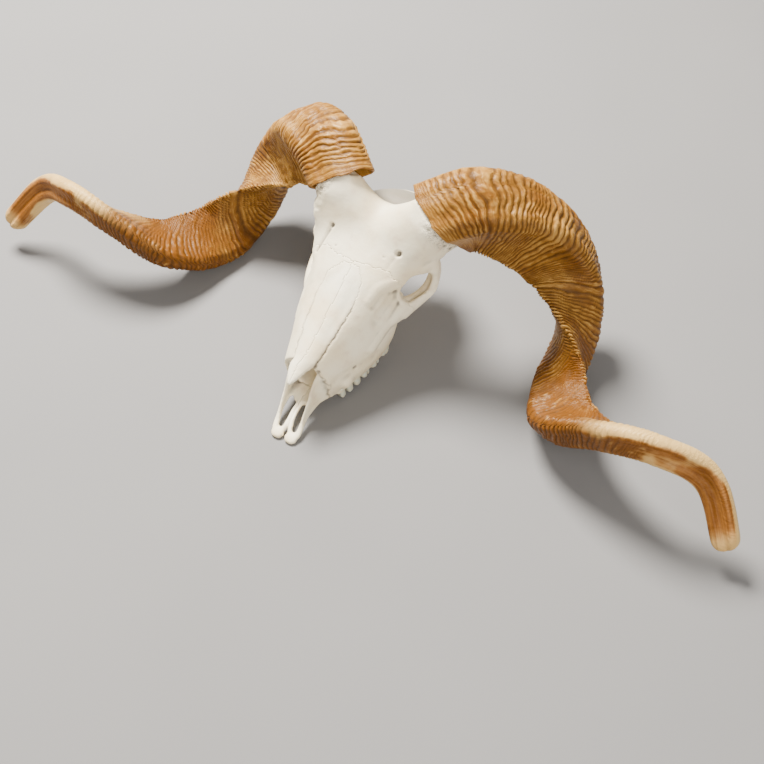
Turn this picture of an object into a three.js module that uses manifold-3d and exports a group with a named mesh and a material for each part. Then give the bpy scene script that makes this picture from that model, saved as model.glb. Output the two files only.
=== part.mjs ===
// Ram skull with its two horns, without the lower jaw, lying as it rests: on the
// undersides of both horn coils and on the tips of the nose.
//
// Millimetres. The skull is first drawn with its tooth line level: +X is the animal's
// left, -Y is the nose, +Z is up. At the end the whole head is pitched nose down by
// REST_PITCH and set on the floor, z = 0. The origin is the point of the floor under
// the middle of the head's box, between the two horn coils.

import * as THREE from 'three';
import { LoftGeometry } from 'three/addons/geometries/LoftGeometry.js';
import { ConvexGeometry } from 'three/addons/geometries/ConvexGeometry.js';
import { mergeVertices } from 'three/addons/utils/BufferGeometryUtils.js';
import Module from 'manifold-3d';

// ---------------------------------------------------------------- driving dimensions

const REST_PITCH = 11.7; // degrees, nose down
const GAP = 0.3; // seam between two bones, or between bone and horn

// Skull, along the nose-to-nape line.
const NOSE_TIP_Y = -164;
const NASAL_TIP_Y = -127;
const FACE_FRONT_Y = -103;
const FACE_BACK_Y = -6;
const NASAL_BACK_Y = -12;
const TOOTH_FRONT_Y = -95;
const TOOTH_LINE_Z = -14;
const HEAD_LEAN = [-2.5, -1, 2]; // sideways steps of the head, the muzzle and its tip
const FULL_SIDE = 4; // the head is this much fuller on the animal's right
const NASAL_THICK = 4.5;
const NASAL_DROOP = 2.2; // the roof of the nose falls off to its side with this power
const BEYOND_ALL = 900; // longer than anything here

// Orbit: a bony ring around an open eye socket.
const ORBIT_CENTRE = [53, 5, 57];
const ORBIT_NORMAL = [0.77, -0.43, 0.13];
const ORBIT_RADIUS = 17;
const ORBIT_RIM = 4.5;
const ORBIT_DEPTH = 7;
const ORBIT_DRAIN = [-0.3, 0.42, -0.86]; // the open floor of the socket runs this way

// Seams of the cheekbone with the brow and the temple.
const CHEEK_TOP_Z = 62;
const CHEEK_BACK_Y = 44;

// Horn: eleven growth stations from the base to the blunt tip. Each one has the
// centre of the section, the way its front face looks, the width of the front face
// and the depth from the front face to the rear edge.
const HORN_STATIONS = [
  { at: [39, 49, 95], front: [0.11, -0.34, 0.93], width: 62, depth: 68 },
  { at: [76, 79, 101], front: [0.36, -0.18, 0.92], width: 66, depth: 69 },
  { at: [119, 98, 73], front: [0.59, 0.36, 0.72], width: 60, depth: 69 },
  { at: [149, 98, 31], front: [0.81, 0.52, 0.27], width: 53, depth: 66 },
  { at: [170, 59, 0], front: [0.54, 0.5, -0.68], width: 48, depth: 66 },
  { at: [188, 8, -5], front: [-0.03, -0.22, -0.97], width: 43, depth: 59 },
  { at: [211, -33, 20], front: [-0.24, -0.82, -0.51], width: 38, depth: 55 },
  { at: [252, -47, 50], front: [-0.15, -0.99, -0.04], width: 34, depth: 38 },
  { at: [302, -49, 64], front: [0.02, -0.92, 0.39], width: 30, depth: 27 },
  { at: [350, -47, 44], front: [0.13, -0.8, 0.58], width: 28, depth: 20 },
  { at: [386, -82, 8], front: [-0.03, -0.77, 0.64], width: 25, depth: 15 },
];
const HORN_EDGE_ROUNDING = 0.24; // radius of the long edges over the width
const HORN_REAR_SHIFT = 0.36; // how far the rear edge leans to the outer side, over the width
const HORN_LENGTH = 620; // along its middle line
const HORN_START = -0.03; // the sheath is cut back from here to its rim
const HORN_END = 0.975; // where the tip begins to round off
const HORN_AROUND = 16;
const HORN_CUTS = [0, 0.2, 0.4, 0.6, 0.8, 1]; // ends of the five lengths
const HORN_STEPS = 6; // sections in one length

// Rim of the horn sheath: a plane through this point across this direction.
const SHEATH_POINT = new THREE.Vector3(21, 65, 117);
const SHEATH_NORMAL = new THREE.Vector3(0.589, 0.645, 0.487).normalize();
const CORE_SCALE = 0.9; // bony horn core inside the rim, over the sheath
const NECK_SCALE = 0.95; // bony neck at the rim, over the sheath
const CORE_REAR = 0.62; // the bone leaves the rear keel of the sheath empty
const CORE_OUTER = 0.84; // and a part of its outer side

// ------------------------------------------------------------------------- materials

const bone = new THREE.MeshStandardMaterial({
  color: 0xece7da,
  roughness: 0.6,
  metalness: 0,
});
const paleBone = new THREE.MeshStandardMaterial({
  color: 0xf3efe4,
  roughness: 0.55,
  metalness: 0,
});
const horn = new THREE.MeshStandardMaterial({
  color: 0xb0742f,
  roughness: 0.38,
  metalness: 0,
});
const hornTip = new THREE.MeshStandardMaterial({
  color: 0xd9b27a,
  roughness: 0.35,
  metalness: 0,
});

// -------------------------------------------------------------------- solid geometry

const wasm = await Module();
wasm.setup();

// Closed three.js geometry to a solid that can be joined and cut.
function solid(geometry) {
  const bare = new THREE.BufferGeometry();
  bare.setAttribute('position', geometry.getAttribute('position').clone());
  if (geometry.index) bare.setIndex(geometry.index.clone());
  const welded = mergeVertices(bare, 1e-3);
  const vertProperties = new Float32Array(welded.getAttribute('position').array);
  const triVerts = new Uint32Array(welded.index.array);
  return new wasm.Manifold(new wasm.Mesh({ numProp: 3, vertProperties, triVerts }));
}

// Solid back to a three.js geometry.
function surface(body) {
  const mesh = body.getMesh();
  const geometry = new THREE.BufferGeometry();
  const position = new Float32Array(mesh.vertProperties);
  geometry.setAttribute('position', new THREE.BufferAttribute(position, 3));
  geometry.setIndex(new THREE.BufferAttribute(new Uint32Array(mesh.triVerts), 1));
  return geometry;
}

// The same geometry on the animal's other side.
function mirrored(geometry) {
  const copy = new THREE.BufferGeometry();
  copy.setAttribute('position', geometry.getAttribute('position').clone());
  copy.setIndex(geometry.index.clone());
  copy.scale(-1, 1, 1);
  const index = copy.index.array;
  for (let i = 0; i < index.length; i += 3) {
    const first = index[i];
    index[i] = index[i + 1];
    index[i + 1] = first;
  }
  return copy;
}

function signedVolume(geometry) {
  const p = geometry.getAttribute('position');
  const index = geometry.index.array;
  const a = new THREE.Vector3();
  const b = new THREE.Vector3();
  const c = new THREE.Vector3();
  let total = 0;
  for (let i = 0; i < index.length; i += 3) {
    a.fromBufferAttribute(p, index[i]);
    b.fromBufferAttribute(p, index[i + 1]);
    c.fromBufferAttribute(p, index[i + 2]);
    total += a.dot(b.cross(c)) / 6;
  }
  return total;
}

// Closed skin through rings of points, facing out whichever way the rings turn.
function skin(rings) {
  const caps = { capStart: true, capEnd: true };
  const first = new LoftGeometry(rings, caps);
  if (signedVolume(first) > 0) return first;
  const turned = rings.map((ring) => [...ring].reverse());
  return new LoftGeometry(turned, caps);
}

// Ring across the head at y, from the half outline on the animal's left,
// [x, z] pairs from the top of the midline down to its foot.
function crossRing(y, half) {
  const ring = half.map(([x, z]) => new THREE.Vector3(x, y, z));
  for (let i = half.length - 1; i >= 0; i -= 1) {
    const [x, z] = half[i];
    if (x > 0) ring.push(new THREE.Vector3(-x, y, z));
  }
  return ring;
}

// Smooth value through a list, uniform Catmull-Rom with straight ends, 0 <= t <= 1.
function along(values, t) {
  const last = values.length - 1;
  const s = t * last;
  const i = Math.min(Math.max(Math.floor(s), 0), last - 1);
  const f = s - i;
  const at = (k) => {
    if (k < 0) return 2 * values[0] - values[1];
    if (k > last) return 2 * values[last] - values[last - 1];
    return values[k];
  };
  const a = at(i - 1);
  const b = at(i);
  const c = at(i + 1);
  const d = at(i + 2);
  const bend = (2 * a - 5 * b + 4 * c - d) * f * f;
  return 0.5 * (2 * b + (c - a) * f + bend + (3 * b - a - 3 * c + d) * f * f * f);
}

// Stations [y, half outline] filled in smoothly, `between` new ones in each step.
function fill(stations, between) {
  const count = (stations.length - 1) * (between + 1);
  const rings = [];
  for (let k = 0; k <= count; k += 1) {
    const t = k / count;
    const y = along(stations.map((s) => s[0]), t);
    const half = stations[0][1].map((_, j) => {
      const x = along(stations.map((s) => s[1][j][0]), t);
      const z = along(stations.map((s) => s[1][j][1]), t);
      return [stations[0][1][j][0] === 0 ? 0 : Math.max(x, 0.4), z];
    });
    rings.push(crossRing(y, half));
  }
  return rings;
}

// Convex lump with the given corners.
function lump(points) {
  return new ConvexGeometry(points.map((p) => new THREE.Vector3(...p)));
}

// Ball with three half sizes, turned so that its z looks along `axis`.
function egg(centre, sizes, axis = [0, 0, 1]) {
  const ball = new THREE.SphereGeometry(1, 10, 6);
  ball.scale(...sizes);
  const up = new THREE.Vector3(0, 0, 1);
  const turn = new THREE.Quaternion().setFromUnitVectors(
    up,
    new THREE.Vector3(...axis).normalize(),
  );
  ball.applyQuaternion(turn);
  ball.translate(...centre);
  return ball;
}

// Bar through points, each [x, y, z, half width, half height]: width lies across
// the bar and `up`, height along `up`.
function bar(points, up = [0, 0, 1], around = 10) {
  const places = points.map((p) => new THREE.Vector3(p[0], p[1], p[2]));
  const rings = places.map((place, i) => {
    const before = places[Math.max(i - 1, 0)];
    const after = places[Math.min(i + 1, places.length - 1)];
    const ahead = after.clone().sub(before).normalize();
    const across = ahead.clone().cross(new THREE.Vector3(...up)).normalize();
    const rise = across.clone().cross(ahead).normalize();
    const ring = [];
    for (let k = 0; k < around; k += 1) {
      const angle = (k / around) * Math.PI * 2;
      const point = place.clone();
      point.addScaledVector(across, Math.cos(angle) * points[i][3]);
      point.addScaledVector(rise, Math.sin(angle) * points[i][4]);
      ring.push(point);
    }
    return ring;
  });
  return skin(rings);
}

function join(...geometries) {
  const bodies = geometries.map((g) => (g.isBufferGeometry ? solid(g) : g));
  return bodies.reduce((all, body) => all.add(body));
}

// Both sides of a piece drawn on the left.
function pair(geometry) {
  return join(geometry, mirrored(geometry));
}

// Half space as a big box: everything on the far side of the plane.
function beyond(point, normal) {
  const box = new THREE.BoxGeometry(BEYOND_ALL, BEYOND_ALL, BEYOND_ALL);
  box.translate(0, 0, BEYOND_ALL / 2);
  const up = new THREE.Vector3(0, 0, 1);
  box.applyQuaternion(new THREE.Quaternion().setFromUnitVectors(up, normal));
  box.translate(point.x, point.y, point.z);
  return solid(box);
}

// ----------------------------------------------------------------------------- horns

function hornFrame(u) {
  const get = (key, axis) => along(HORN_STATIONS.map((s) => s[key][axis]), u);
  const centre = new THREE.Vector3(get('at', 0), get('at', 1), get('at', 2));
  const step = 0.004;
  const near = (v) => {
    const pick = (axis) => along(HORN_STATIONS.map((s) => s.at[axis]), v);
    return new THREE.Vector3(pick(0), pick(1), pick(2));
  };
  const ahead = near(u + step).sub(near(u - step)).normalize();
  const front = new THREE.Vector3(get('front', 0), get('front', 1), get('front', 2));
  front.addScaledVector(ahead, -front.dot(ahead)).normalize();
  const across = ahead.clone().cross(front);
  const width = along(HORN_STATIONS.map((s) => s.width), u);
  const depth = along(HORN_STATIONS.map((s) => s.depth), u);
  return { centre, front, across, width, depth };
}

// Section of the horn: a triangle with rounded corners, two of them on the front
// face and one at the rear edge. The bone inside leaves its rear and outer parts free.
function hornRing(u, scale = 1, rearShare = 1, outerShare = 1) {
  const { centre, front, across, width, depth } = hornFrame(u);
  const radius = HORN_EDGE_ROUNDING * width;
  const half = width / 2 - radius;
  const rise = depth / 2 - radius;
  const rear = HORN_REAR_SHIFT * width;
  const corners = [[-half, rise], [half, rise], [rear, -rise]];
  const ring = [];
  for (let k = 0; k < HORN_AROUND; k += 1) {
    const angle = (k / HORN_AROUND) * Math.PI * 2;
    const cos = Math.cos(angle);
    const sin = Math.sin(angle);
    let best = corners[0];
    for (const corner of corners) {
      if (corner[0] * cos + corner[1] * sin > best[0] * cos + best[1] * sin) best = corner;
    }
    const aside = best[0] + cos * radius;
    const forward = best[1] + sin * radius;
    const point = centre.clone();
    point.addScaledVector(across, aside * scale * (aside > 0 ? outerShare : 1));
    point.addScaledVector(front, forward * scale * (forward < 0 ? rearShare : 1));
    ring.push(point);
  }
  return ring;
}

// Last sections of the blunt tip: place along the horn and scale.
const TIP_ROUND = [[0.985, 0.97], [0.995, 0.8], [1, 0.5]];

function hornLength(from, to) {
  const rings = [];
  const seam = GAP / HORN_LENGTH;
  const start = from === 0 ? HORN_START : from + seam / 2;
  const end = to === 1 ? HORN_END : to - seam / 2;
  for (let k = 0; k <= HORN_STEPS; k += 1) {
    rings.push(hornRing(start + ((end - start) * k) / HORN_STEPS));
  }
  if (to === 1) TIP_ROUND.forEach(([u, scale]) => rings.push(hornRing(u, scale)));
  return skin(rings);
}

const sheathRim = SHEATH_POINT.clone().addScaledVector(SHEATH_NORMAL, GAP);
const hornBodies = [];
for (let i = 0; i + 1 < HORN_CUTS.length; i += 1) {
  let body = solid(hornLength(HORN_CUTS[i], HORN_CUTS[i + 1]));
  if (i === 0) body = body.intersect(beyond(sheathRim, SHEATH_NORMAL));
  hornBodies.push(body);
}

// Bony core from inside the forehead to the rim of the sheath.
function hornCore() {
  const rings = [];
  for (const u of [-0.05, -0.01, 0.03, 0.07, 0.11]) {
    rings.push(hornRing(u, CORE_SCALE, CORE_REAR, CORE_OUTER));
  }
  return solid(skin(rings)).subtract(beyond(SHEATH_POINT, SHEATH_NORMAL));
}

// Spread of the forehead up to the rim of the sheath: a convex body from the rim down
// to these places on the brow.
const PEDICLE_FOOT = [
  [-3, 47, 104], [-3, 12, 93], [16, 54, 105], [44, 0, 80], [58, 22, 78], [50, 48, 74], [18, 56, 88],
];

function pedicle() {
  const { centre } = hornFrame(0);
  const ahead = hornFrame(0.04).centre.sub(centre).normalize();
  const rim = hornRing(0.02, NECK_SCALE, CORE_REAR, CORE_OUTER).map((point) => {
    const away = point.clone().sub(SHEATH_POINT).dot(SHEATH_NORMAL);
    return point.addScaledVector(ahead, -away / ahead.dot(SHEATH_NORMAL));
  });
  const foot = PEDICLE_FOOT.map((p) => new THREE.Vector3(...p));
  return surface(solid(new ConvexGeometry([...rim, ...foot])));
}

// ----------------------------------------------------------------------------- skull

// Face: both upper jaws up to the roof of the nose. Half outlines go over the roof,
// down the cheek, over the tooth sockets and in to the palate.
const FACE = [
  [FACE_FRONT_Y, [[0, 50], [9, 48], [15, 43], [21, 32], [22, 15], [19, 0], [14, -1], [0, 1]]],
  [-85, [[0, 59], [11, 57], [19, 50], [27, 34], [29, 12], [24, -5], [17, -5], [0, 2]]],
  [-62, [[0, 67], [14, 65], [25, 56], [35, 38], [37, 14], [31, -6], [20, -6], [0, 4]]],
  [-38, [[0, 76], [17, 73], [30, 64], [40, 46], [42, 20], [35, -6], [22, -6], [0, 5]]],
  [-20, [[0, 83], [22, 80], [36, 70], [43, 50], [43, 25], [34, -3], [23, -4], [0, 5]]],
  [FACE_BACK_Y, [[0, 88], [28, 85], [41, 76], [42, 54], [38, 30], [28, 4], [20, 0], [0, 6]]],
];

// Roof of the nose.
const NASAL = [
  [NASAL_TIP_Y, 2.2, 47, 1.5],
  [-120, 6, 49.5, 3],
  [-108, 9.5, 53, 4],
  [-90, 12.5, 59, 5.5],
  [-70, 15, 66, 7],
  [-45, 17, 75, 7],
  [-25, 15, 82, 6],
  [NASAL_BACK_Y, 5, 87, 5],
];

function nasalRing([y, width, top, drop], thick, spare) {
  const outer = [];
  const inner = [];
  const count = 5;
  for (let k = 0; k <= count; k += 1) {
    const s = k / count;
    const x = s * (width + spare);
    const z = top - drop * s ** NASAL_DROOP;
    outer.push(new THREE.Vector3(x, y, z + spare * 8));
    inner.unshift(new THREE.Vector3(x, y, z - thick - spare * 3));
  }
  return [...outer, ...inner];
}

function nasal(thick, spare) {
  const rows = NASAL.map((row) => [...row]);
  rows[rows.length - 1][0] += spare;
  return skin(rows.map((row) => nasalRing(row, thick, spare)));
}

// Braincase and skull base, behind the face.
const BRAINCASE = [
  [-2, [[0, 86], [30, 82], [36, 74], [26, 50], [20, 30], [14, 12], [8, 6], [0, 6]]],
  [20, [[0, 94], [34, 90], [42, 82], [26, 58], [18, 36], [14, 14], [8, 8], [0, 8]]],
  [44, [[0, 103], [28, 102], [40, 92], [36, 66], [28, 40], [18, 16], [10, 10], [0, 10]]],
  [58, [[0, 92], [24, 90], [38, 83], [40, 66], [34, 40], [20, 18], [10, 12], [0, 12]]],
  [70, [[0, 86], [20, 84], [34, 76], [41, 60], [38, 38], [24, 16], [12, 10], [0, 10]]],
  [84, [[0, 75], [18, 72], [30, 64], [37, 52], [35, 34], [22, 16], [12, 10], [0, 10]]],
  [97, [[0, 62], [12, 60], [20, 54], [25, 44], [24, 32], [18, 20], [10, 12], [0, 12]]],
];

// Brow: the frontal bones, spreading to a shelf over each eye.
const BROW = [
  [-13, [[0, 86], [24, 82], [36, 75], [40, 68], [34, 64], [20, 66], [0, 70]]],
  [0, [[0, 90], [28, 87], [44, 79], [49, 71], [44, 66], [24, 68], [0, 72]]],
  [14, [[0, 96], [32, 93], [48, 85], [57, 75], [52, 68], [28, 72], [0, 76]]],
  [28, [[0, 101], [34, 101], [50, 92], [62, 78], [56, 69], [30, 74], [0, 78]]],
  [42, [[0, 104], [30, 108], [46, 100], [58, 84], [50, 74], [30, 78], [0, 82]]],
  [53, [[0, 101], [22, 104], [36, 104], [48, 92], [44, 82], [26, 80], [0, 84]]],
];

const orbitCentre = new THREE.Vector3(...ORBIT_CENTRE);
const orbitNormal = new THREE.Vector3(...ORBIT_NORMAL).normalize();

// Round piece on the line of sight of the eye, `from` to `to` outwards, with its own
// radius at both ends.
function orbitDrum(inner, outer, from, to, axis = orbitNormal) {
  const drum = new THREE.CylinderGeometry(outer, inner, to - from, 16);
  drum.translate(0, (from + to) / 2, 0);
  const y = new THREE.Vector3(0, 1, 0);
  drum.applyQuaternion(new THREE.Quaternion().setFromUnitVectors(y, axis));
  drum.translate(orbitCentre.x, orbitCentre.y, orbitCentre.z);
  return drum;
}

// Ring of the eye socket, with the root that joins it to the upper jaw and the arch
// that runs back to the temple.
function cheekbone() {
  const rim = orbitDrum(ORBIT_RADIUS + 1, ORBIT_RADIUS + ORBIT_RIM, -ORBIT_DEPTH, 1);
  const root = bar([
    [36, -28, 34, 5, 8],
    [43, -18, 36, 5, 8],
    [49, -8, 37, 5, 7],
    [54, 2, 37, 4, 5],
    [58, 12, 39, 3.5, 4],
  ]);
  const arch = bar([
    [56.5, 9, 39.5, 3, 4],
    [57, 20, 39, 3, 4],
    [54, 33, 37, 3, 4],
    [47, 48, 36, 3, 5],
    [32, 62, 38, 4, 5],
  ]);
  const post = bar([
    [59, 20, 46, 4, 3],
    [60, 23, 60, 4.5, 3],
    [59, 25, 72, 6, 4],
    [53, 27, 84, 8, 4],
  ], [1, 0, 0], 8);
  return join(rim, root, arch, post);
}

function teeth() {
  const bodies = [];
  const lengths = [8, 9, 10, 13, 15, 16];
  let y = TOOTH_FRONT_Y;
  lengths.forEach((length, i) => {
    const middle = y + length / 2;
    const x = 20.5 + 7.5 * (i / 5) ** 0.8;
    const half = length / 2 - 0.4;
    const wide = 3.6 + i * 0.7;
    const top = 2;
    const foot = TOOTH_LINE_Z + 1.5 - i * 0.3;
    bodies.push(
      lump([
        [x - wide, middle - half, top],
        [x + wide, middle - half, top],
        [x - wide, middle + half, top],
        [x + wide, middle + half, top],
        [x - wide + 1, middle - half + 0.6, foot + 2],
        [x + wide - 0.6, middle - half + 0.6, foot],
        [x - wide + 1, middle + half - 0.6, foot + 2],
        [x + wide - 0.6, middle + half - 0.6, foot],
        [x + wide - 0.3, middle, foot + 1.5],
        [x, middle - half * 0.5, foot + 0.4],
        [x, middle + half * 0.5, foot + 0.4],
      ]),
    );
    y += length;
  });
  return join(...bodies);
}

// Front jaw bone: a flat forked plate with the long palatine slit, and a wing that
// climbs along the nose opening.
function premaxilla() {
  const outline = new THREE.Shape();
  outline.moveTo(0.2, FACE_FRONT_Y - 1);
  outline.lineTo(0.4, -146);
  outline.quadraticCurveTo(1, -156, 3.5, NOSE_TIP_Y + 1.5);
  outline.quadraticCurveTo(8, NOSE_TIP_Y - 1.5, 12, NOSE_TIP_Y + 3);
  outline.quadraticCurveTo(16, -155, 14.8, -147);
  outline.quadraticCurveTo(13.6, -138, 14.8, -126);
  outline.lineTo(19, FACE_FRONT_Y - 1);
  outline.closePath();
  const slit = new THREE.Path();
  slit.moveTo(4.2, -112);
  slit.lineTo(3.2, -128);
  slit.lineTo(3.8, -142);
  slit.quadraticCurveTo(5.2, -152, 7.2, -152);
  slit.quadraticCurveTo(10.6, -142, 11, -130);
  slit.quadraticCurveTo(10.5, -118, 6.5, -111);
  slit.closePath();
  outline.holes.push(slit);
  const plate = new THREE.ExtrudeGeometry(outline, {
    depth: 4.5,
    bevelEnabled: false,
    curveSegments: 6,
  });
  plate.translate(0, 0, -1);
  const wing = skin(
    [
      [-150, 12.2, 1.5, 2.5, 2],
      [-138, 12.6, 1.5, 7, 8],
      [-126, 13.4, 1.4, 14, 15],
      [-114, 15.2, 1.4, 26, 29],
      [FACE_FRONT_Y - 1, 18.5, 1.6, 36, 41],
    ].map(([y, x, half, rise, top]) => [
      new THREE.Vector3(x - half, y, -0.5),
      new THREE.Vector3(x + half + 1, y, -0.5),
      new THREE.Vector3(x + half + 0.6, y, rise * 0.5),
      new THREE.Vector3(x + half - rise * 0.1, y, rise),
      new THREE.Vector3(x - rise * 0.12, y, top),
      new THREE.Vector3(x - half - rise * 0.1, y, rise),
      new THREE.Vector3(x - half, y, rise * 0.5),
    ]),
  );
  return join(plate, wing);
}

// ------------------------------------------------------------------- cut and fit up

const wholeFace = solid(skin(fill(FACE, 1)));
const nasalCutter = pair(nasal(NASAL_THICK, GAP));
const drain = new THREE.Vector3(...ORBIT_DRAIN).normalize();
const eyeRoom = join(
  orbitDrum(ORBIT_RADIUS - 5, ORBIT_RADIUS, -30, 2),
  orbitDrum(ORBIT_RADIUS - 1, ORBIT_RADIUS - 1, 1, 40),
);
const openFloor = solid(orbitDrum(ORBIT_RADIUS - 4, ORBIT_RADIUS, -3, 70, drain));
const socket = pair(surface(eyeRoom.add(openFloor)));

// Hollow of the nose: open to the front, closed by the face behind.
const noseHollow = solid(
  skin(
    [
      [FACE_FRONT_Y - 2, [[0, 60], [9, 46], [13, 26], [13, 8], [0, 6]]],
      [-80, [[0, 52], [10, 46], [15, 28], [15, 10], [0, 8]]],
      [-60, [[0, 44], [6, 40], [9, 28], [8, 16], [0, 14]]],
    ].map(([y, half]) => crossRing(y, half)),
  ),
);

const plane = (at, normal) => beyond(new THREE.Vector3(...at), new THREE.Vector3(...normal));
const leftSide = plane([GAP / 2, 0, 0], [1, 0, 0]);
const behindFace = plane([0, FACE_BACK_Y - GAP, 0], [0, 1, 0]);
const beforeBrow = plane([0, FACE_BACK_Y, 0], [0, -1, 0]);

const cheek = cheekbone();
const cheekRoot = cheek.subtract(behindFace);
const cheekTop = cheek.intersect(plane([0, 0, CHEEK_TOP_Z], [0, 0, 1]));
const cheekRear = cheek.intersect(plane([0, CHEEK_BACK_Y, 0], [0, 1, 0]));
const zygomatic = cheek
  .intersect(plane([0, FACE_BACK_Y, 0], [0, 1, 0]))
  .subtract(plane([0, 0, CHEEK_TOP_Z - GAP], [0, 0, 1]))
  .subtract(plane([0, CHEEK_BACK_Y - GAP, 0], [0, 1, 0]))
  .subtract(eyeRoom);

const braincase = solid(skin(fill(BRAINCASE, 1)));
const brow = solid(skin(fill(BROW, 1)));
const core = surface(hornCore());
const condyle = egg([13, 99, 22], [9, 9, 7]);
const bulla = egg([22, 74, 12], [8, 11, 9]);
const temple = egg([40, 62, 38], [10, 12, 8]);

let cranium = join(braincase, brow, pair(core), pair(pedicle()));
cranium = join(cranium, pair(condyle), pair(bulla), pair(temple));
cranium = cranium.add(pair(surface(cheekTop))).add(pair(surface(cheekRear)));
cranium = cranium.subtract(socket).subtract(beforeBrow);

let maxilla = wholeFace.subtract(noseHollow).subtract(behindFace).add(cheekRoot);
maxilla = maxilla.subtract(socket).subtract(nasalCutter).intersect(leftSide).add(teeth());

const root = new THREE.Group();

// The head in front of the horns leans a little to the animal's right, and is fuller
// on that side, up to the nose.
function lean(geometry) {
  const place = geometry.getAttribute('position');
  const step = THREE.MathUtils.smoothstep;
  for (let i = 0; i < place.count; i += 1) {
    const ahead = -place.getY(i);
    const steps = [step(ahead, -26, 12), step(ahead, 45, 112), step(ahead, 130, -NOSE_TIP_Y)];
    const shift = steps.reduce((sum, part, k) => sum + part * HEAD_LEAN[k], 0);
    const side = Math.min(Math.max(-place.getX(i) / 24, 0), 1);
    const full = side * step(ahead, -24, -4) * (1 - step(ahead, 118, 150));
    place.setX(i, place.getX(i) + shift - FULL_SIDE * full);
  }
}

// Pitch the head nose down; the lift is worked out once everything is there.
const pitch = new THREE.Matrix4().makeRotationX(THREE.MathUtils.degToRad(REST_PITCH));

function place(name, geometry, material) {
  if (!name.startsWith('horn')) lean(geometry);
  geometry.applyMatrix4(pitch);
  const mesh = new THREE.Mesh(geometry, material);
  mesh.name = name;
  root.add(mesh);
}

function placePair(name, body, material) {
  const left = surface(body);
  const right = mirrored(left);
  place(`${name}_left`, left, material);
  place(`${name}_right`, right, material);
}

place('cranium', surface(cranium), bone);
placePair('maxilla', maxilla, bone);
placePair('nasal', solid(nasal(NASAL_THICK, 0)).intersect(leftSide), paleBone);
placePair('premaxilla', premaxilla().intersect(leftSide), paleBone);
placePair('zygomatic', zygomatic, bone);
const HORN_NAMES = ['horn_base', 'horn_crown', 'horn_coil', 'horn_spread', 'horn_tip'];
HORN_NAMES.forEach((name, i) => {
  placePair(name, hornBodies[i], i === 4 ? hornTip : horn);
});

const box = new THREE.Box3().setFromObject(root);
const middle = box.getCenter(new THREE.Vector3());
root.children.forEach((mesh) => {
  mesh.geometry.translate(-middle.x, -middle.y, -box.min.z);
});

export default root;
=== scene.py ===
"""Ram skull with its horns: finished bones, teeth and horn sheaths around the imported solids.

Shapes are worked out in millimetres in the head's own axes: x to the animal's left, y from
the nose to the nape, z up, with the tooth line level. At the end each piece is pitched nose
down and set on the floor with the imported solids, in metres.
"""

import math

import bmesh
import bpy
import numpy as np
from bpy.props import FloatProperty, FloatVectorProperty, PointerProperty
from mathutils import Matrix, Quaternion, Vector


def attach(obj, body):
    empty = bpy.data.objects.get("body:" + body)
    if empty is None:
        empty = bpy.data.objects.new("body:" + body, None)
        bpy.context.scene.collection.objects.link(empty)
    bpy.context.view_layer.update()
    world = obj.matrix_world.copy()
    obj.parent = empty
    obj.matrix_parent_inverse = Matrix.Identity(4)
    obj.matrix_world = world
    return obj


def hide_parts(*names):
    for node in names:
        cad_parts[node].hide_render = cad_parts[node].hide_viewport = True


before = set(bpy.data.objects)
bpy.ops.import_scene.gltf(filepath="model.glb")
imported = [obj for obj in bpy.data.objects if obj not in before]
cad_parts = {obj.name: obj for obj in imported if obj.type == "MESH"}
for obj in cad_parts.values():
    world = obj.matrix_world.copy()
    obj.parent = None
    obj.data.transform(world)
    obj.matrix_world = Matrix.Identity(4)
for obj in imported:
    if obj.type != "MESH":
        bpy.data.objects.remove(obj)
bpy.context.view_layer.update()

bl_info = {
    "name": "Ram skull",
    "version": (1, 0, 0),
    "blender": (4, 5, 0),
    "location": "3D View > Sidebar > Skull",
    "description": "Builds a life-size ram skull with horns, its materials and a plain stage",
    "category": "Object",
}

MM = 0.001
REST_PITCH = math.radians(11.7)
HEAD_AT = np.array([0.0, 18.27, 34.17])  # where the head's own origin lies, mm from the floor's
SIDES = (("left", 1.0), ("right", -1.0))

# --------------------------------------------------------------------------- numbers


def curve_between(a, b, c, d, f):
    """Catmull-Rom curve from b to c, at the share f of the way; a and d are its neighbours."""
    bend = (2 * a - 5 * b + 4 * c - d) * f**2
    return 0.5 * (2 * b + (c - a) * f + bend + (3 * b - a - 3 * c + d) * f**3)


def spline(values, t):
    """Uniform Catmull-Rom curve through the rows of values, with straight ends, at 0 <= t <= 1."""
    values = np.asarray(values, float)
    first = 2 * values[:1] - values[1:2]
    last = 2 * values[-1:] - values[-2:-1]
    knots = np.concatenate([first, values, last])
    s = np.asarray(t, float) * (len(values) - 1)
    i = np.clip(np.floor(s).astype(int), 0, len(values) - 2)
    f = (s - i).reshape(s.shape + (1,) * (values.ndim - 1))
    return curve_between(knots[i], knots[i + 1], knots[i + 2], knots[i + 3], f)


def round_loop(points, count):
    """Closed Catmull-Rom curve through the points, at `count` even steps."""
    points = np.asarray(points, float)
    n = len(points)
    s = np.arange(count) * n / count
    i = np.floor(s).astype(int)
    f = (s - i)[:, None]
    return curve_between(*(points[(i + k) % n] for k in (-1, 0, 1, 2)), f)


def step(value, low, high):
    """0 below low, 1 above high, smooth between."""
    t = np.clip((value - low) / (high - low), 0, 1)
    return t * t * (3 - 2 * t)


def unit(vectors):
    """Vectors of length one along the last axis."""
    length = np.linalg.norm(vectors, axis=-1, keepdims=True)
    return vectors / np.maximum(length, 1e-9)


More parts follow.
